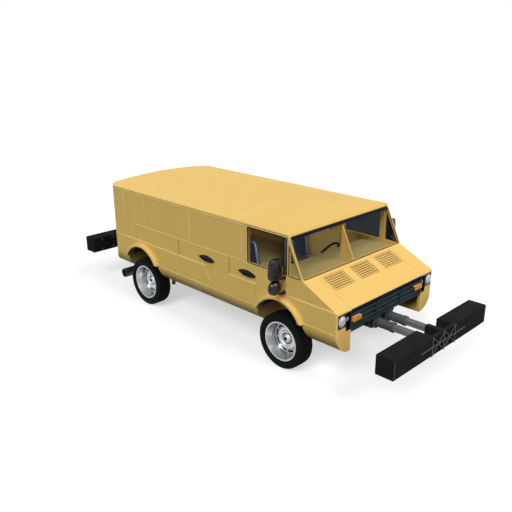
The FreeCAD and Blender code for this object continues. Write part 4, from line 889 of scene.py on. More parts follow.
# Pale colour of the seam beads and drip rails: a painted highlight where panel edges catch the light.
SEAM_HIGHLIGHT = Finish("seam_highlight", shade(255, 236, 168), shade(250, 226, 156), Texture.SPRAYED, 0.5, 0.04,
                    specular=0.2)
SEAL_OLIVE = Finish("seal_olive", shade(112, 94, 56), shade(98, 82, 50), Texture.MOULDED, 0.6, 0.05, specular=0.05)
SEAM_DARK = Finish("seam_dark", shade(96, 76, 44), shade(78, 60, 36), Texture.MOULDED, 0.7, 0.05, specular=0.1)
BLACK_TRIM = Finish("satin_black", shade(10, 11, 20), shade(15, 17, 28), Texture.MOULDED, 0.42, 0.06, specular=0.08,
                    edge=shade(30, 38, 60), edge_width=0.0015)
MIRROR_SHELL = Finish("mirror_shell", shade(9, 10, 14), shade(13, 14, 18), Texture.POLISHED, 0.28, 0.05,
                      specular=0.3, coat=0.1, edge=shade(40, 42, 50), edge_width=0.002)
# Second colour: painted highlight on the braces' front faces; edge colour: painted highlight too.
BUMPER_BLACK = Braced("bumper_black", shade(37, 37, 38), shade(33, 33, 34), Texture.MOULDED, 0.8, 0.05,
                      specular=0.015, edge=shade(74, 74, 76), patch_scale=6.0, second=shade(104, 104, 106))
WINDOW = Pane("window_glass", shade(16, 28, 34), shade(14, 25, 31), Texture.POLISHED, 0.04, 0.02, specular=0.04,
              clear=0.07, dense=0.20)
LAMP_LENS = Fluted("lamp_lens", shade(222, 230, 240), shade(212, 222, 234), Texture.POLISHED, 0.08, 0.02,
                   clear=0.25, dense=0.7)
LAMP_HOUSING = Finish("lamp_housing", shade(8, 8, 12), shade(12, 12, 18), Texture.MOULDED, 0.4, 0.05, specular=0.2,
                      edge=shade(40, 44, 58), edge_width=0.002)
INDICATOR = Grid("indicator_orange", shade(255, 186, 84), shade(250, 172, 70), Texture.POLISHED, 0.3, 0.04,
                 specular=0.1, second=shade(128, 60, 30), pitch=0.0265, line=0.26)
TAIL_RED = Ribbed("tail_red", shade(176, 22, 16), shade(160, 16, 12), Texture.POLISHED, 0.2, 0.04, coat=0.4,
                  second=shade(96, 8, 8), pitch=0.014)
RUBBER = Finish("tyre_rubber", shade(8, 8, 9), shade(13, 13, 13), Texture.CAST, 0.85, 0.05, specular=0.12,
                edge=shade(24, 24, 25), patch_scale=9.0)
RIM_BRIGHT = WheelMetal("rim_bright", shade(188, 189, 191), shade(180, 181, 184), Texture.POLISHED, 0.30, 0.04,
                        metallic=1.0)
BRIGHT = Finish("bright_metal", shade(214, 215, 217), shade(200, 201, 204), Texture.POLISHED, 0.16, 0.05,
                metallic=1.0)
TUBE_GREY = Finish("tube_grey", shade(84, 84, 86), shade(74, 74, 76), Texture.SPRAYED, 0.5, 0.06, specular=0.06,
                   edge=shade(118, 118, 120))
ROD_STEEL = Finish("rod_steel", shade(108, 108, 110), shade(96, 96, 98), Texture.BRUSHED, 0.35, 0.08,
                   metallic=0.4)
CHASSIS = Finish("chassis_black", shade(26, 26, 27), shade(20, 20, 21), Texture.SPRAYED, 0.6, 0.08, specular=0.2,
                 edge=shade(48, 47, 45), dust=shade(58, 54, 46))
AXLE_IRON = Finish("axle_iron", shade(52, 52, 54), shade(38, 38, 39), Texture.CAST, 0.6, 0.08, metallic=0.5,
                   dust=shade(74, 68, 58))
ENGINE_IRON = Finish("engine_iron", shade(70, 70, 72), shade(54, 54, 56), Texture.CAST, 0.55, 0.08, metallic=0.6)
EXHAUST = Finish("exhaust_steel", shade(92, 90, 88), shade(66, 62, 58), Texture.BRUSHED, 0.42, 0.1, metallic=0.8,
                 patch_scale=14.0)
DAMPER = Finish("damper_orange", shade(206, 70, 28), shade(186, 58, 22), Texture.SPRAYED, 0.35, 0.06,
                edge=shade(232, 126, 84))
# Grey second colour: painted highlight on the seats' bolsters.
SEAT_CLOTH = Cloth("seat_cloth", shade(30, 38, 62), shade(24, 31, 52), Texture.WOVEN, 0.85, 0.06, specular=0.1,
                   second=shade(120, 126, 138))
SEAT_FRAME = Finish("seat_frame", shade(34, 34, 36), shade(26, 26, 28), Texture.MOULDED, 0.6, 0.08,
                    edge=shade(60, 60, 62))
SEAL = Finish("rubber_seal", shade(10, 13, 26), shade(13, 17, 32), Texture.MOULDED, 0.5, 0.06, specular=0.05,
              edge=shade(38, 44, 60))
GRILLE_GREY = Banded("grille_grey", shade(46, 58, 64), shade(40, 52, 58), Texture.MOULDED, 0.5, 0.05,
                     specular=0.02, edge=shade(78, 90, 96), second=shade(12, 14, 42))
LAMP_GRID = Grid("lamp_grid", shade(240, 242, 246), shade(226, 230, 238), Texture.POLISHED, 0.12, 0.03, coat=0.4,
                 second=shade(70, 62, 70))
MIRROR_GLASS = Finish("mirror_glass", shade(200, 206, 212), shade(192, 198, 206), Texture.POLISHED, 0.03, 0.01,
                      metallic=1.0)

DRESS = {"paint": PAINT, "cab_paint": CAB_PAINT, "black_trim": BLACK_TRIM, "bumper_black": BUMPER_BLACK,
         "grille_grey": GRILLE_GREY, "window_glass": WINDOW, "lamp_lens": LAMP_LENS, "lamp_housing": LAMP_HOUSING,
         "indicator_orange": INDICATOR, "tail_red": TAIL_RED, "tyre": RUBBER, "rim": RIM_BRIGHT,
         "steel_tube": TUBE_GREY, "steel_rod": ROD_STEEL, "chassis_black": CHASSIS, "axle_iron": AXLE_IRON,
         "engine_iron": ENGINE_IRON, "exhaust_steel": EXHAUST, "damper_orange": DAMPER, "seat_fabric": SEAT_CLOTH,
         "seat_frame": SEAT_FRAME}
OWN_LOOK = {"roof": ROOF_PAINT, "wells_front": PAINT, "wells_rear": PAINT}


class BodyDress:
    """Puts the right finish on every node of the part."""

    def build(self) -> None:
        """Dress the nodes by their material slots, a few by their names."""
        slots = {item["node"]: item["material_slot"] for item in frame["record"]["subparts"]}
        for name, shown in frame["nodes"].items():
            finish = OWN_LOOK.get(name, DRESS[slots[name]])
            shown.data.materials.clear()
            shown.data.materials.append(finish.material())
            LOG.info("node %s wears %s", name, finish.name)


# Wheels


class Corner(Enum):
    """The four corners: side, axle and names of their body and nodes."""

    FRONT_LEFT = (1, -AXLE_Y, "fl")
    FRONT_RIGHT = (-1, -AXLE_Y, "fr")
    REAR_LEFT = (1, AXLE_Y, "rl")
    REAR_RIGHT = (-1, AXLE_Y, "rr")


@dataclass
class Wheel:
    """One wheel: a treaded tyre, wheel nuts, hub cap and valve."""

    corner: Corner
    centre_x: float = 0.835
    tyre_radius: float = 0.341
    tread_depth: float = 0.009
    pitches: int = 46
    nut_circle: float = 0.077
    nuts: int = 5
    first_nut: float = 0.3
    hub_x: float = 0.805
    cap_out: float = 0.0335
    tread_half: float = 0.088
    crown: float = 0.0035
    ribs_x: Pair = (0.023, 0.056)
    rib_half: float = 0.0045
    slot_share: float = 0.18
    slant: float = 9.0
    shoulder: Pair = (0.0885, 0.1)
    shoulder_share: float = 0.55
    ridge: float = 0.0012
    ridge_radius: float = 0.300
    ridge_half: float = 0.004
    valve_x: float = 0.862
    valve_circle: float = 0.190
    valve_turn: float = 0.9

    def outline(self) -> np.ndarray:
        """Half of the tyre's cross-section from the middle of the tread to the bead, as across and radius.

        Returns:
            Pairs of distance from the tyre's middle plane and radius.
        """
        r = self.tyre_radius
        tread = np.stack([np.linspace(0.0, self.tread_half, 19), np.full(19, r)], -1)
        tread[:, 1] -= self.crown * (tread[:, 0] / self.tread_half) ** 4
        wall = np.array([(0.094, r - 0.009), (0.098, r - 0.013), (0.1025, r - 0.022), (0.106, r - 0.034),
                         (0.1085, r - 0.044), (0.1098, r - 0.055), (0.1092, r - 0.062), (0.1065, 0.268),
                         (0.102, 0.258), (0.096, 0.250), (0.094, 0.2462), (0.089, 0.2430), (0.084, 0.2415),
                         (0.084, 0.2284)])
        return np.concatenate([tread, wall])

    def tyre(self) -> Surface:
        """The tyre with its tread.

        The radius at each angle and place across is the outline's, less the tread depth
        where a rib groove or a slanting cross slot runs, and with low bars on the shoulder.

        Returns:
            The tyre's closed skin.
        """
        half = self.outline()
        line = np.concatenate([half[::-1] * np.array([-1.0, 1.0]), half[1:]])
        angles = np.linspace(0, 2 * np.pi, self.pitches * 6, endpoint=False)[:, None]
        x, r = line[None, :, 0], line[None, :, 1]
        size = np.abs(x)
        near, far = self.shoulder
        ribs = np.any([np.abs(size - rib) < self.rib_half for rib in self.ribs_x], axis=0)
        phase = (angles * self.pitches / (2 * np.pi) + size * self.slant + 0.5 * (x < 0)) % 1.0
        slots = (phase < self.slot_share) & (size > self.ribs_x[0] + self.rib_half)
        depth = np.where((size < near) & (ribs | slots), self.tread_depth, 0.0)
        bars = (size > near) & (size < far) & (phase < self.slot_share)
        depth = depth + np.where(bars, self.tread_depth * self.shoulder_share, 0.0)
        ridge = self.ridge * ((size > far) & (np.abs(r - self.ridge_radius) < self.ridge_half))
        radius = r - depth
        side, axle_y, _ = self.corner.value
        across = side * (self.centre_x + x * side) + ridge * np.sign(x)
        points = track(across, axle_y + radius * np.cos(angles), AXLE_Z + radius * np.sin(angles))
        return Surface(points, rows_closed=True, columns_closed=True)

    def nut(self, angle: float) -> Surface:
        """One domed wheel nut on its circle.

        Args:
            angle: where it stands on the circle, in radians.

        Returns:
            The nut.
        """
        side, axle_y, _ = self.corner.value
        centre = (side * self.hub_x, axle_y + self.nut_circle * math.cos(angle),
                  AXLE_Z + self.nut_circle * math.sin(angle))
        return turned([(0, 0), (0, 0.0115), (0.003, 0.0115), (0.004, 0.0095), (0.014, 0.0092), (0.018, 0.006),
                       (0.019, 0)], centre, (side, 0, 0), 6)

    def build(self) -> None:
        """Tyre in place of the plain one, nuts, cap and valve on the rim."""
        side, axle_y, code = self.corner.value
        body = "wheel_" + code
        tyre = piece("tread_" + code, [self.tyre()], RUBBER, body, sharp=32)
        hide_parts("tyre_" + code)
        angles = np.arange(self.nuts) * 2 * math.pi / self.nuts + self.first_nut
        piece("wheel_nuts_" + code, [self.nut(float(a)) for a in angles], BRIGHT, body)
        cap = turned([(-0.010, 0.0), (-0.010, 0.024), (0.001, 0.0235), (0.004, 0.020), (0.005, 0.0)],
                     (side * (self.hub_x + self.cap_out), axle_y, AXLE_Z), (side, 0, 0), 28)
        collar = turned([(-0.001, 0.061), (0.003, 0.0615), (0.003, 0.0655), (-0.001, 0.066)],
                        (side * self.hub_x, axle_y, AXLE_Z), (side, 0, 0), 48, True)
        piece("hub_cap_" + code, [cap, collar], BLACK_TRIM, body)
        c, s = math.cos(self.valve_turn), math.sin(self.valve_turn)
        stem = [(-0.012, 0), (-0.012, 0.006), (0.012, 0.0045), (0.014, 0.0055), (0.028, 0.0052), (0.030, 0)]
        foot = (side * self.valve_x, axle_y + self.valve_circle * c, AXLE_Z + self.valve_circle * s)
        piece("valve_" + code, [turned(stem, foot, (side * 0.7, -c * 0.7, -s * 0.7), 10)], BLACK_TRIM, body)


# Glazing, seals and mirrors


@dataclass
class Glazing:
    """Rubber seals round the panes, the doors' window channels and the inner mirror's glass."""

    seal_width: float = 0.013
    seal_height: float = 0.007
    corner: float = 0.02
    door: Line = ((-1.373, 1.188), (-0.805, 1.188), (-0.805, 1.624), (-1.373, 1.624))
    quarter: Line = ((-1.625, 1.190), (-1.451, 1.190), (-1.451, 1.552))
    screen_half: float = 0.919
    screen_low: Pair = (-1.6585, 1.188)
    screen_high: Pair = (-1.4462, 1.630)
    screen_corner: float = 0.035
    header_half: float = 0.90
    header_y: float = -1.4575
    header_z: float = 1.615
    header_out: Point = (0.0, -0.901, 0.433)
    channel_y: tuple[float, float, float] = (-1.384, -1.403, -1.422)
    channel_z: Pair = (1.196, 1.628)

    def side_seal(self, corners: Line, side: int) -> Surface:
        """A seal round a pane in the side: the oval bead carried round the pane's outline.

        Args:
            corners: lengthwise and upright places of the outline's corners.
            side: 1 for left, -1 for right.

        Returns:
            The bead.
        """
        loop = round_corners([(side * (SIDE_X - 0.001), y, z) for y, z in corners], self.corner)
        return carried(loop, (side, 0, 0), ring_profile(self.seal_width, self.seal_height), True)

    def screen_seal(self) -> Surface:
        """The windscreen's seal, on the slope of the screen.

        Returns:
            An oval bead carried round the screen's outline.
        """
        half, low, high = self.screen_half, self.screen_low, self.screen_high
        out = (0.0, low[1] - high[1], high[0] - low[0])
        corners = [(-half, *low), (half, *low), (half, *high), (-half, *high)]
        loop = round_corners(corners, self.screen_corner)
        return carried(loop, unit(np.array(out)), ring_profile(0.02, 0.008), True)

    def header(self) -> Surface:
        """A dark strip along the windscreen's upper edge, on its slope: painted shadow under the roof's edge."""
        path = track(np.linspace(-self.header_half, self.header_half, 30), self.header_y, self.header_z)
        return carried(path, self.header_out, ring_profile(0.034, 0.006), False)

    def channel(self, side: int, y: float, width: float) -> Surface:
        """An upright strip of the door's front window channel, on its pillar.

        Args:
            side: 1 for left, -1 for right.
            y: its lengthwise middle.
            width: its width.

        Returns:
            A flat bead carried straight up.
        """
        path = track(side * SIDE_X, y, np.linspace(*self.channel_z, 12))
        half = width / 2
        form = [(-half, -0.001), (half, -0.001), (half * 0.8, 0.003), (-half * 0.8, 0.003)]
        return carried(path, (side, 0, 0), form, False)

    def build(self) -> None:
        """All seals and channels, and the inner mirror's glass."""
        rear, middle, front = self.channel_y
        for side, code, _ in SIDES:
            body = "door_cab_" + code
            rims = [self.channel(side, y, 0.012) for y in (rear, front)]
            piece("window_seal_" + code, [self.side_seal(self.door, side), *rims], SEAL, body)
            piece("window_channel_" + code, [self.channel(side, middle, 0.024)], TUBE_GREY, body)
        quarters = [self.side_seal(self.quarter, side) for side in (1, -1)]
        piece("quarter_seals", quarters, SEAL_OLIVE, "body")
        piece("windscreen_seal", [self.screen_seal()], SEAL_OLIVE, "body")
        # Dark strip under the screen's header: painted shadow.
        piece("windscreen_header", [self.header()], SEAL, "body")
        piece("inner_mirror_glass", [rounded_block((-0.093, -1.3425, 1.514), (0.093, -1.3405, 1.598), 0.3, 14)],
              MIRROR_GLASS, "body")


# Outside mirrors


@dataclass
class Mirror:
    """An outside mirror: a tall head over a round one on a bent arm, with their glasses."""

    side: int
    code: str
    word: str
    head_x: float = 1.097
    head_z: float = 1.300
    head_half: float = 0.103
    head_tall: float = 0.120
    round_x: float = 1.088
    round_z: float = 1.076
    round_radius: float = 0.090
    front_y: float = -1.448
    back_y: float = -1.362
    bow_y: float = -1.40
    bow: float = 0.016
    arm_x: float = 1.045
    arm_y: float = -1.398
    arm_low: float = 0.985
    arm_high: float = 1.160
    arm_top: float = 1.24
    arm_bend: float = 0.035

    def tall_head(self) -> Surface:
        """The tall head: a block with soft edges, narrower towards its top and bowed forwards.

        Returns:
            The head's closed skin.
        """
        made = rounded_block((self.head_x - self.head_half, self.front_y, self.head_z - self.head_tall),
                             (self.head_x + self.head_half, self.back_y, self.head_z + self.head_tall), 0.42, 26)
        points = made.points.copy()
        up = (points[..., 2] - self.head_z) / self.head_tall
        across = (points[..., 0] - self.head_x) / self.head_half
        points[..., 0] = self.head_x + (points[..., 0] - self.head_x) * (0.93 - 0.09 * up)
        points[..., 1] += self.bow * across ** 2 * (points[..., 1] < self.bow_y)
        return Surface(points * np.array([self.side, 1.0, 1.0]), columns_closed=True)

    def round_head(self) -> Surface:
        """The round head: a bowl turned about a lengthwise axis.

        Returns:
            The bowl with its rim.
        """
        r = self.round_radius
        t = np.linspace(0, math.pi / 2, 10)
        bowl = [(float(-0.075 * math.cos(v)), float(r * math.sin(v))) for v in t]
        return turned(bowl + [(0.006, r), (0.008, r - 0.004), (0.008, 0.0)],
                      (self.side * self.round_x, self.back_y - 0.012, self.round_z), (0, 1, 0), 44)

    def arm(self, low_z: float, size: float) -> Surface:
        """A round bar that leaves the door level and bends up, by a quadratic curve in the bend.

        Args:
            low_z: height at which it leaves the door.
            size: its diameter.

        Returns:
            The bar.
        """
        start, turn, end = track([SIDE_X - 0.001, self.arm_x, self.arm_x], self.arm_y, [low_z, low_z, self.arm_top])
        before, after = turn - np.array([self.arm_bend, 0, 0]), turn + np.array([0, 0, self.arm_bend])
        path = np.concatenate([[start], bend(before, turn, after, 9), [end]]) * np.array([self.side, 1.0, 1.0])
        return carried(path, (0, 1, 0), ring_profile(size, size, 14), False)

    def foot(self, z: float) -> Surface:
        """The oval foot that bolts the arm to the door."""
        return turned([(-0.004, 0.0), (-0.004, 0.024), (0.004, 0.023), (0.009, 0.016), (0.010, 0.0)],
                      (self.side * SIDE_X, self.arm_y, z), (self.side, 0, 0), 24)

    def build(self) -> None:
        """Heads, arm and glasses in place of the plain mirror."""
        code, body = self.code, "door_cab_" + self.code
        heads = piece("mirror_heads_" + code, [self.tall_head(), self.round_head()], MIRROR_SHELL, body)
        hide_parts("mirror_" + self.word)
        bars = [self.arm(self.arm_low, 0.028), self.arm(self.arm_high, 0.022)]
        feet = [self.foot(z) for z in (self.arm_low, self.arm_high)]
        piece("mirror_arm_" + code, bars + feet, MIRROR_SHELL, body)
        disc = turned([(0, 0), (0.0016, 0.0), (0.0016, 0.070), (0, 0.072)],
                      (self.side * self.round_x, self.back_y - 0.0042, self.round_z), (0, 1, 0), 36)
        pane = rounded_block((self.side * self.head_x - 0.074, self.back_y - 0.001, self.head_z - 0.098),
                             (self.side * self.head_x + 0.074, self.back_y + 0.002, self.head_z + 0.094), 0.3, 16)
        piece("mirror_glass_" + code, [disc, pane], MIRROR_GLASS, body)


# Nose

HOOD_OUT = unit(np.array([0.0, -HOOD_RISE, HOOD_RUN]))


@dataclass
class Nose:
    """Louvre borders, dark strips of painted shade in and along the slots on the hood lid, and the lamps' glass,
    bezels and cups.
    """

    bank_x: tuple[float, ...] = (-0.48, 0.0, 0.48)
    bank_half: float = 0.155
    margin: float = 0.017
    front_y: float = -1.874
    pitch: float = 0.028
    slot: float = 0.011
    rows: int = 6
    sunk: float = 0.007
    lens_x: float = 0.859
    lens_y: float = -2.146
    lens_z: float = 0.843
    lens_radius: float = 0.058
    bulge: float = 0.024

    @staticmethod
    def hood(y: Places) -> Places:
        """Height of the hood at a lengthwise place: its low edge plus its slope."""
        return HOOD_LOW_Z + HOOD_RISE / HOOD_RUN * (y - NOSE_Y)

    def reach(self, margin: float) -> Pair:
        """Where a bank of louvres starts and ends along the van, with a margin."""
        return self.front_y - margin, self.front_y + self.pitch * (self.rows - 1) + self.slot + margin

    def border(self, x0: float) -> Surface:
        """The bright bead round a bank of louvres.

        Args:
            x0: the bank's middle across the van.

        Returns:
            The bead.
        """
        y0, y1 = self.reach(self.margin)
        half = self.bank_half + self.margin
        corners = [(x0 - half, y0), (x0 + half, y0), (x0 + half, y1), (x0 - half, y1)]
        loop = round_corners([(x, y, self.hood(y)) for x, y in corners], 0.012)
        return carried(loop, HOOD_OUT, ring_profile(0.005, 0.004), True)

    def lip(self, x0: float, row: int) -> Surface:
        """A dark strip of painted shade along a slot's upper edge: a flat bead straight across the bank.

        Args:
            x0: the bank's middle across the van.
            row: number of the slot, from 0 at the front.

        Returns:
            The bead.
        """
        x = np.linspace(x0 - self.bank_half, x0 + self.bank_half, 16)
        y = self.front_y + self.pitch * row + self.slot + 0.002
        return carried(track(x, y, self.hood(y)), HOOD_OUT, ring_profile(0.005, 0.0024), False)

    def lamp(self, side: int) -> tuple[Surface, Surface, Surface]:
        """A round headlamp: its domed glass, its bezel ring and the dark cup behind.

        Args:
            side: 1 for left, -1 for right.

        Returns:
            Glass, bezel and cup, each a profile turned about the lamp's axis.
        """
        r, c = self.lens_radius, (side * self.lens_x, self.lens_y, self.lens_z)
        t = np.linspace(0.0, math.pi / 2, 9)
        dome = [(float(self.bulge * math.cos(v)), float(r * math.sin(v))) for v in t]
        glass = turned(dome + [(-0.004, r), (-0.004, 0.0)], c, (0, -1, 0), 40)
        ring = turned([(-0.003, r + 0.004), (0.004, r + 0.005), (0.006, r + 0.008), (0.002, r + 0.0105),
                       (-0.003, r + 0.0105)], c, (0, -1, 0), 48, True)
        cup = turned([(-0.006, 0.0), (-0.006, r + 0.006), (0.0, r + 0.006), (0.0, r - 0.001), (-0.0045, r - 0.002),
                      (-0.0045, 0.0)], c, (0, -1, 0), 40)
        return glass, ring, cup

    def gauze(self, x0: float) -> Surface:
        """A dark sheet of painted shade under a bank's slots, flat and parallel to the hood.

        Args:
            x0: the bank's middle across the van.

        Returns:
            The strip.
        """
        y = np.linspace(*self.reach(0.004), 12)
        path = track(x0, y, self.hood(y) - self.sunk)
        return carried(path, HOOD_OUT, strip_profile(self.bank_half + 0.003, 0.001), False)

    def build(self) -> None:
        """Louvres with their borders and their dark strips of painted shade, and the headlamps."""
        piece("louvre_borders", [self.border(x0) for x0 in self.bank_x], SEAM_DARK, "lid")
        # Dark strips along the slots' upper edges: painted shade.
        piece("louvre_edge_shade", [self.lip(x0, row) for x0 in self.bank_x for row in range(self.rows)], SEAM_DARK, "lid")
        # Dark sheets under the slots: painted shade.
        piece("louvre_slot_shade", [self.gauze(x0) for x0 in self.bank_x], SEAM_DARK, "lid")
        lamps = [self.lamp(side) for side in (1, -1)]
        piece("headlamp_glass", [lamp[0] for lamp in lamps], LAMP_GRID, "body")
        piece("headlamp_bezels", [lamp[1] for lamp in lamps], TUBE_GREY, "body")
        piece("headlamp_cups", [lamp[2] for lamp in lamps], LAMP_HOUSING, "body")


# Seams, rails and liners


@dataclass(frozen=True)
class Seams:
    """Beads that make one piece: its name, body and finish, then each bead's node and its line on the side."""

    name: str
    body: str
    finish: Finish
    lines: tuple[tuple[str, Line], ...]


SEAMS = (
    Seams("seams_", "body", SEAM_HIGHLIGHT, (
        ("side_door_{}", ((0.255, 1.186), (-0.705, 1.186))), ("side_door_{}", ((-0.705, 1.19), (-0.705, 1.630))),
        ("rear_quarter_{}", ((1.468, 1.186), (0.264, 1.186))), ("rear_quarter_{}", ((0.264, 1.19), (0.264, 1.63))),
        ("rear_quarter_{}", ((1.237, 1.19), (1.237, 1.63))), ("rear_quarter_{}", ((1.482, 1.19), (1.482, 1.63))),
        ("rear_quarter_{}", ((1.732, 1.19), (1.732, 1.63))), ("rear_quarter_{}", ((1.75, 0.957), (0.50, 0.957))),
        ("side_door_{}", ((0.48, 0.957), (-0.028, 0.957))), ("side_door_{}", ((-0.030, 0.942), (-0.165, 0.70))),
        ("sills", ((-0.168, 0.684), (-0.168, 0.53))), ("sills", ((-0.98, 0.686), (0.90, 0.686))),
        ("fender_{}", ((-0.95, 0.956), (-2.12, 0.956))), ("fender_{}", ((-1.66, 0.70), (-2.12, 0.70))))),
    Seams("door_seams_", "door_cab_{}", SEAM_HIGHLIGHT, (
        ("cab_door_{}", ((-0.722, 1.182), (-1.37, 1.182))), ("cab_door_{}", ((-0.482, 0.957), (-0.935, 0.957))))),
    Seams("stop_seams_", "body", SEAM_DARK, (
        ("rear_quarter_{}", ((0.497, 0.966), (0.497, 1.174))),
        ("rear_quarter_{}", ((1.473, 0.966), (1.473, 1.174))))),
    Seams("door_stop_", "door_cab_{}", SEAM_DARK, (("cab_door_{}", ((-0.482, 0.966), (-0.482, 1.174))),)))


@dataclass
class Panels:
    """Seams painted pale as a painted highlight, the roof's drip rails painted pale the same way with a dark line of
    painted shadow above them, and the black arch liners, which also stand for the arches' shade.
    """

    width: float = 0.007
    rise: float = 0.0040
    start_x: float = 1.15
    step: float = 0.03
    rail_y: Pair = (-1.42, 1.97)
    rail_z: float = 1.634
    joint_z: float = 1.6435
    liner_degrees: Pair = (30.0, 150.0)
    liner_radius: float = 0.368
    liner_x: float = 0.735
    liner_z: float = 0.51
    liner_half: float = 0.165

    @staticmethod
    def cast(node: str, starts: np.ndarray, way: Point) -> np.ndarray:
        """Points where lines meet a node's surface.

        Args:
            node: the node's name.
            starts: where the lines start.
            way: their direction.

        Returns:
            The points that were met, in order.
        """
        shown = frame["nodes"][node]
        hits = [shown.ray_cast(Vector(start), Vector(way)) for start in starts.tolist()]
        return np.array([tuple(hit[1]) for hit in hits if hit[0]])

    def side_seam(self, node: str, corners: Line, side: int) -> Surface:
        """A bead along a line on the van's side.

        Args:
            node: the node that carries it.
            corners: the line's lengthwise and upright places.
            side: 1 for left, -1 for right.

        Returns:
            An oval bead carried along the points where the line falls on the node.
        """
        line = np.array(corners, float)
        lengths = np.concatenate([[0.0], np.cumsum(np.linalg.norm(np.diff(line, axis=0), axis=1))])
        at = np.linspace(0.0, lengths[-1], max(3, int(lengths[-1] / self.step)))
        y, z = np.interp(at, lengths, line[:, 0]), np.interp(at, lengths, line[:, 1])
        points = self.cast(node, track(side * self.start_x, y, z), (-side, 0, 0))
        return carried(points, (side, 0, 0), ring_profile(self.width, self.rise), False)

    def rail(self, side: int, z: float, depth: float, size: float) -> Surface:
        """A rail along the roof's edge, carried straight from behind the screen to the tail's corner."""
        path = track(side * (SIDE_X + depth), np.linspace(*self.rail_y, 24), z)
        return carried(path, (side, 0, 0), ring_profile(size, size), False)

    def liner(self, side: int, axle_y: float) -> Surface:
        """Black liner under a wheel arch, which also stands for the shade in the arch's top: a flat strip carried
        round the arch's half circle.

        Args:
            side: 1 for left, -1 for right.
            axle_y: the axle's place along the van.

        Returns:
            The strip.
        """
        t = np.linspace(*(math.radians(v) for v in self.liner_degrees), 36)
        r = self.liner_radius
        path = track(side * self.liner_x, axle_y + r * np.cos(t), self.liner_z + r * np.sin(t))
        return carried(path, track(0.0, -np.cos(t), -np.sin(t)), strip_profile(self.liner_half, 0.002), False)

    def build(self) -> None:
        """Every seam on its own body, the drip rail and the painted shadow line above it on each side, and the four
        liners.
        """
        for side, code, word in SIDES:
            for seams in SEAMS:
                beads = [self.side_seam(node.format(word), line, side) for node, line in seams.lines]
                piece(seams.name + code, beads, seams.finish, seams.body.format(code))
            # Drip rail painted pale: a painted highlight.
            piece("drip_rail_" + code, [self.rail(side, self.rail_z, 0.001, 0.008)], SEAM_HIGHLIGHT, "body")
            # Dark line above the drip rail: painted shadow.
            piece("roof_shadow_line_" + code, [self.rail(side, self.joint_z, 0.0, 0.005)], SEAM_DARK, "body")
            liners = [self.liner(side, axle_y) for axle_y in (AXLE_Y, -AXLE_Y)]
            # Black liners: real liners that also paint the shade in the arches' tops.
            piece("arch_shade_liners_" + code, liners, RUBBER, "body")


# Bolts and edges


@dataclass
class Fasteners:
    """Bolts, and grey strips on the bumpers' corners that stand for the corners' painted highlight."""

    columns_x: tuple[float, ...] = (-0.80, -0.60, -0.40, 0.40, 0.60, 0.80)
    rows_z: Pair = (0.505, 0.655)
    face_y: float = 2.650
    edge_x: float = 0.948
    edge_y: float = 2.8725
    edge_z: Pair = (0.482, 0.678)

    @staticmethod
    def bolt(centre: Point, axis: Point, radius: float = 0.011) -> Surface:
        """A hexagon bolt head with a washer, turned about its axis."""
        return turned([(-0.002, 0.0), (-0.002, radius * 1.6), (0.002, radius * 1.6), (0.0021, radius * 1.05),
                       (0.009, radius), (0.010, radius * 0.8), (0.010, 0.0)], centre, axis, 12)

    def build(self) -> None:
        """Bolts and edges on both bumpers."""
        for end, code in ((-1, "front"), (1, "rear")):
            bolts = [self.bolt((x, end * self.face_y, z), (0, -end, 0)) for x in self.columns_x for z in self.rows_z]
            piece("bumper_bolts_" + code, bolts, TUBE_GREY, "ram_" + code)
            z = np.linspace(*self.edge_z, 12)
            paths = [track(x, end * self.edge_y, z) for x in (-self.edge_x, self.edge_x)]
            # Grey strips on the upright corners: painted highlight.
            corner_highlights = [carried(path, (0, end, 0), ring_profile(0.007, 0.006), False) for path in paths]
            piece("bumper_edges_" + code, corner_highlights, TUBE_GREY, "ram_" + code)


# Seats


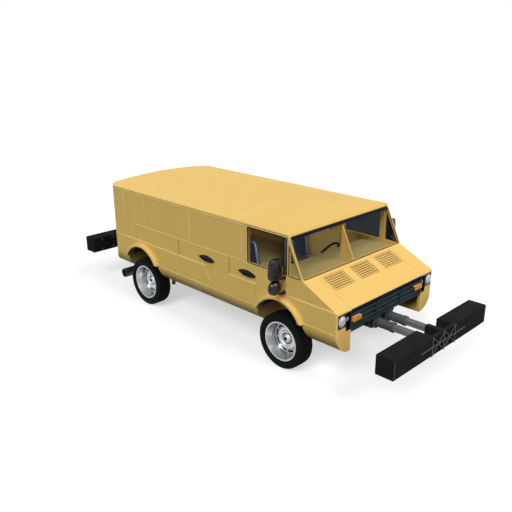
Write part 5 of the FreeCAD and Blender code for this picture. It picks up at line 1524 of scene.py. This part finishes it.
@dataclass
class Seats:
    """Two seats, each a padded cushion and backrest with piping, swollen by a cloth simulation."""

    seat_x: float = 0.48
    half: float = 0.232
    voxel: float = 0.012
    pressure: float = 4.0
    frames: int = 14
    cap: float = 0.014
    foot_z: float = 0.765
    tall: float = 0.44

    def cushion(self) -> Surface:
        """Plain form of the left seat's cushion: a soft block, higher at the sides.

        Returns:
            The block.
        """
        made = rounded_block((self.seat_x - self.half + 0.006, -0.798, 0.657),
                             (self.seat_x + self.half - 0.006, -0.312, 0.768), 0.34, 30)
        points = made.points.copy()
        across = (points[..., 0] - self.seat_x) / self.half
        upper = np.clip((points[..., 2] - 0.70) / 0.07, 0, 1)
        points[..., 2] += upper * (0.012 * across ** 2 - 0.008 * (1 - across ** 2))
        return Surface(points, columns_closed=True)

    def backrest(self) -> Surface:
        """Plain form of the left backrest: a soft slab leaned back, narrower towards its top.

        Returns:
            The slab.
        """
        made = rounded_block((self.seat_x - self.half + 0.014, -0.388, self.foot_z),
                             (self.seat_x + self.half - 0.014, -0.290, self.foot_z + self.tall), 0.36, 30)
        points = made.points.copy()
        up = np.clip((points[..., 2] - self.foot_z) / self.tall, 0, 1)
        across = (points[..., 0] - self.seat_x) / self.half
        points[..., 1] += 0.078 * up - 0.014 * (np.abs(across) ** 3) * (points[..., 1] < -0.34)
        points[..., 0] = self.seat_x + (points[..., 0] - self.seat_x) * (1 - 0.10 * up ** 3)
        return Surface(points, columns_closed=True)

    def swell(self, pad: bpy.types.Object) -> None:
        """Remesh a pad, inflate it as cloth, hold each point within the cap, and smooth it.

        Args:
            pad: the pad, changed in place.
        """
        scene = bpy.context.scene
        remesh = pad.modifiers.new("remesh", "REMESH")
        remesh.mode = "VOXEL"
        remesh.voxel_size = self.voxel
        self.settle(pad)
        start = np.empty(len(pad.data.vertices) * 3)
        pad.data.vertices.foreach_get("co", start)
        cloth = pad.modifiers.new("cloth", "CLOTH")
        cloth.settings.use_pressure = True
        cloth.settings.uniform_pressure_force = self.pressure
        cloth.settings.effector_weights.gravity = 0.0
        cloth.settings.quality = 4
        cloth.point_cache.frame_end = self.frames
        for number in range(self.frames):
            scene.frame_set(number + 1)
        self.settle(pad)
        scene.frame_set(1)
        end = np.empty_like(start)
        pad.data.vertices.foreach_get("co", end)
        move = (end - start).reshape(-1, 3)
        size = np.linalg.norm(move, axis=1, keepdims=True)
        held = move * np.minimum(1.0, self.cap / np.maximum(size, 1e-9))
        pad.data.vertices.foreach_set("co", (start.reshape(-1, 3) + held).ravel())
        pad.data.update()

    @staticmethod
    def settle(pad: bpy.types.Object) -> None:
        """Apply what the pad's modifiers have made of it.

        Args:
            pad: the pad, changed in place.
        """
        graph = bpy.context.evaluated_depsgraph_get()
        made = bpy.data.meshes.new_from_object(pad.evaluated_get(graph))
        pad.modifiers.clear()
        old, pad.data = pad.data, made
        bpy.data.meshes.remove(old)
        pad.data.shade_smooth()

    def piping(self, form: Surface, outset: float) -> Surface:
        """The welt round a pad: a round bead along the form's widest line.

        Args:
            form: the pad's plain form.
            outset: how far the bead stands out, as a share of the pad's width.

        Returns:
            The bead.
        """
        widest = form.points[form.points.shape[0] // 2]
        middle = widest.mean(axis=0)
        path = middle + (widest - middle) * (1 + outset)
        return carried(path, (0, 0, 1), ring_profile(0.008, 0.008), True)

    def build(self) -> None:
        """Four pads and their piping in place of the plain cushions."""
        forms = (("cushion", self.cushion()), ("backrest", self.backrest()))
        made = []
        for label, form in forms:
            pad = piece("seat_%s_left" % label, [form], SEAT_CLOTH, "body", sharp=180)
            self.swell(pad)
            made.append(pad)
            twin = bpy.data.meshes.new("seat_%s_right" % label)
            twin_cells = bmesh.new()
            twin_cells.from_mesh(pad.data)
            bmesh.ops.scale(twin_cells, vec=(-1, 1, 1), verts=twin_cells.verts)
            bmesh.ops.recalc_face_normals(twin_cells, faces=twin_cells.faces)
            twin_cells.to_mesh(twin)
            twin_cells.free()
            twin.shade_smooth()
            twin.materials.append(SEAT_CLOTH.material())
            other = placed("seat_%s_right" % label, twin)
            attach(other, "body")
            made.append(other)
        for pad in made:
            soft = pad.modifiers.new("smooth", "SUBSURF")
            soft.levels = 1
            soft.render_levels = 1
        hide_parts("seat_cushions")
        welts = [self.piping(form, 0.012) for _, form in forms]
        piece("seat_piping", welts + [welt.mirrored() for welt in welts], BLACK_TRIM, "body")


# Studio


@dataclass
class Studio:
    """White floor, soft lights and the camera at the photograph's angle."""

    lens: float = 44.0
    sensor: float = 36.0
    eye: Point = (-5.7023, -5.7575, 3.7014)
    azimuth: float = -44.717
    elevation: float = 19.512
    roll: float = -0.317
    key: float = 1.78
    key_way: Point = (0.10, -0.72, 0.69)
    side: float = 2.0
    side_way: Point = (-0.68, -0.25, 0.69)
    softness: float = 30.0
    fill: float = 0.28
    cab_lamp: float = 6.0
    cab_lamp_size: float = 0.4
    cab_lamp_at: Point = (0.0, -0.80, 1.44)
    cab_lamp_way: Point = (0.0, -1.0, 1.0)
    floor_half: float = 60.0
    floor_z: float = -0.001
    floor_dull: float = 0.03
    floor_pale: float = 0.55
    floor_glow: float = 0.55

    def camera(self) -> None:
        """The camera, from its two angles and its roll."""
        data = bpy.data.cameras.new("camera")
        data.lens = self.lens
        data.sensor_width = self.sensor
        made = placed("camera", data)
        a, e, r = (math.radians(v) for v in (self.azimuth, self.elevation, self.roll))
        back = Vector((math.sin(a) * math.cos(e), -math.cos(a) * math.cos(e), math.sin(e)))
        right = (-back).cross(Vector((0, 0, 1))).normalized()
        up = right.cross(-back)
        turned_right = right * math.cos(r) + up * math.sin(r)
        turned_up = up * math.cos(r) - right * math.sin(r)
        turn = Matrix((turned_right, turned_up, back)).transposed().to_4x4()
        made.matrix_world = Matrix.Translation(Vector(self.eye)) @ turn
        bpy.context.scene.camera = made

    def floor(self) -> None:
        """A white floor that keeps the shadow and throws little light back up."""
        mesh = bpy.data.meshes.new("floor")
        corners = [(x * self.floor_half, y * self.floor_half, self.floor_z)
                   for x, y in ((-1, -1), (1, -1), (1, 1), (-1, 1))]
        mesh.from_pydata(corners, [], [(0, 1, 2, 3)])
        made = placed("floor", mesh)
        material = bpy.data.materials.new("floor_white")
        material.use_nodes = True
        tree = Tree(material.node_tree)
        material.node_tree.nodes.clear()
        dull, pale = (tree.node("ShaderNodeBsdfDiffuse") for _ in range(2))
        for matt, level in ((dull, self.floor_dull), (pale, self.floor_pale)):
            matt.inputs["Color"].default_value = (level, level, level, 1)
        glow = tree.node("ShaderNodeEmission")
        glow.inputs["Strength"].default_value = self.floor_glow
        both = tree.node("ShaderNodeAddShader")
        tree.link(pale.outputs[0], both.inputs[0])
        tree.link(glow.outputs[0], both.inputs[1])
        choice = tree.node("ShaderNodeMixShader")
        tree.link(self.seen(tree), choice.inputs[0])
        tree.link(dull.outputs[0], choice.inputs[1])
        tree.link(both.outputs[0], choice.inputs[2])
        end = tree.node("ShaderNodeOutputMaterial")
        tree.link(choice.outputs[0], end.inputs["Surface"])
        mesh.materials.append(material)

    @staticmethod
    def seen(tree: Tree) -> Socket:
        """One where the ray comes from the camera, a mirror or a pane, and nought elsewhere."""
        path = tree.node("ShaderNodeLightPath")
        return tree.any(*[path.outputs["Is %s Ray" % kind] for kind in ("Camera", "Glossy", "Transmission")])

    @staticmethod
    def towards(way: Point) -> Euler:
        """The turn that sets a light's back towards a direction."""
        return Vector(way).normalized().to_track_quat("Z", "Y").to_euler()

    def lights(self) -> None:
        """Two broad soft suns, over the nose and from the near side, even light all round, and the cab's lamp."""
        for name, strength, way, tint in (("soft_key", self.key, self.key_way, (1.0, 0.95, 0.92)),
                                          ("soft_side", self.side, self.side_way, (0.93, 1.0, 1.0))):
            data = bpy.data.lights.new(name, "SUN")
            data.energy = strength
            data.color = tint
            data.angle = math.radians(self.softness)
            made = placed(name, data)
            made.rotation_euler = self.towards(way)
        data = bpy.data.lights.new("cab_lamp", "AREA")
        data.energy = self.cab_lamp
        data.size = self.cab_lamp_size
        data.color = (0.88, 1.0, 1.06)
        made = placed("cab_lamp", data)
        made.location = self.cab_lamp_at
        made.rotation_euler = self.towards(self.cab_lamp_way)
        made.visible_camera = made.visible_glossy = False
        world = bpy.data.worlds.new("studio")
        world.use_nodes = True
        bpy.context.scene.world = world
        tree = Tree(world.node_tree)
        air = world.node_tree.nodes["Background"]
        air.inputs["Color"].default_value = (1, 1, 1, 1)
        tree.link(tree.span(self.seen(tree), self.fill, 1.0), air.inputs["Strength"])

    def build(self) -> None:
        """Camera, floor and lights."""
        self.camera()
        self.floor()
        self.lights()
        bpy.context.scene.view_settings.view_transform = "Standard"


def main() -> None:
    """Build the studio, dress the nodes and make every piece."""
    logging.basicConfig(level=logging.INFO, format="%(message)s")
    builders = [Studio(), BodyDress(), *[Wheel(corner) for corner in Corner], Glazing(),
                *[Mirror(*side) for side in SIDES], Nose(), Panels(), Fasteners(), Seats()]
    for builder in builders:
        builder.build()
        LOG.info("%s done", type(builder).__name__)


if __name__ == "__main__":
    main()
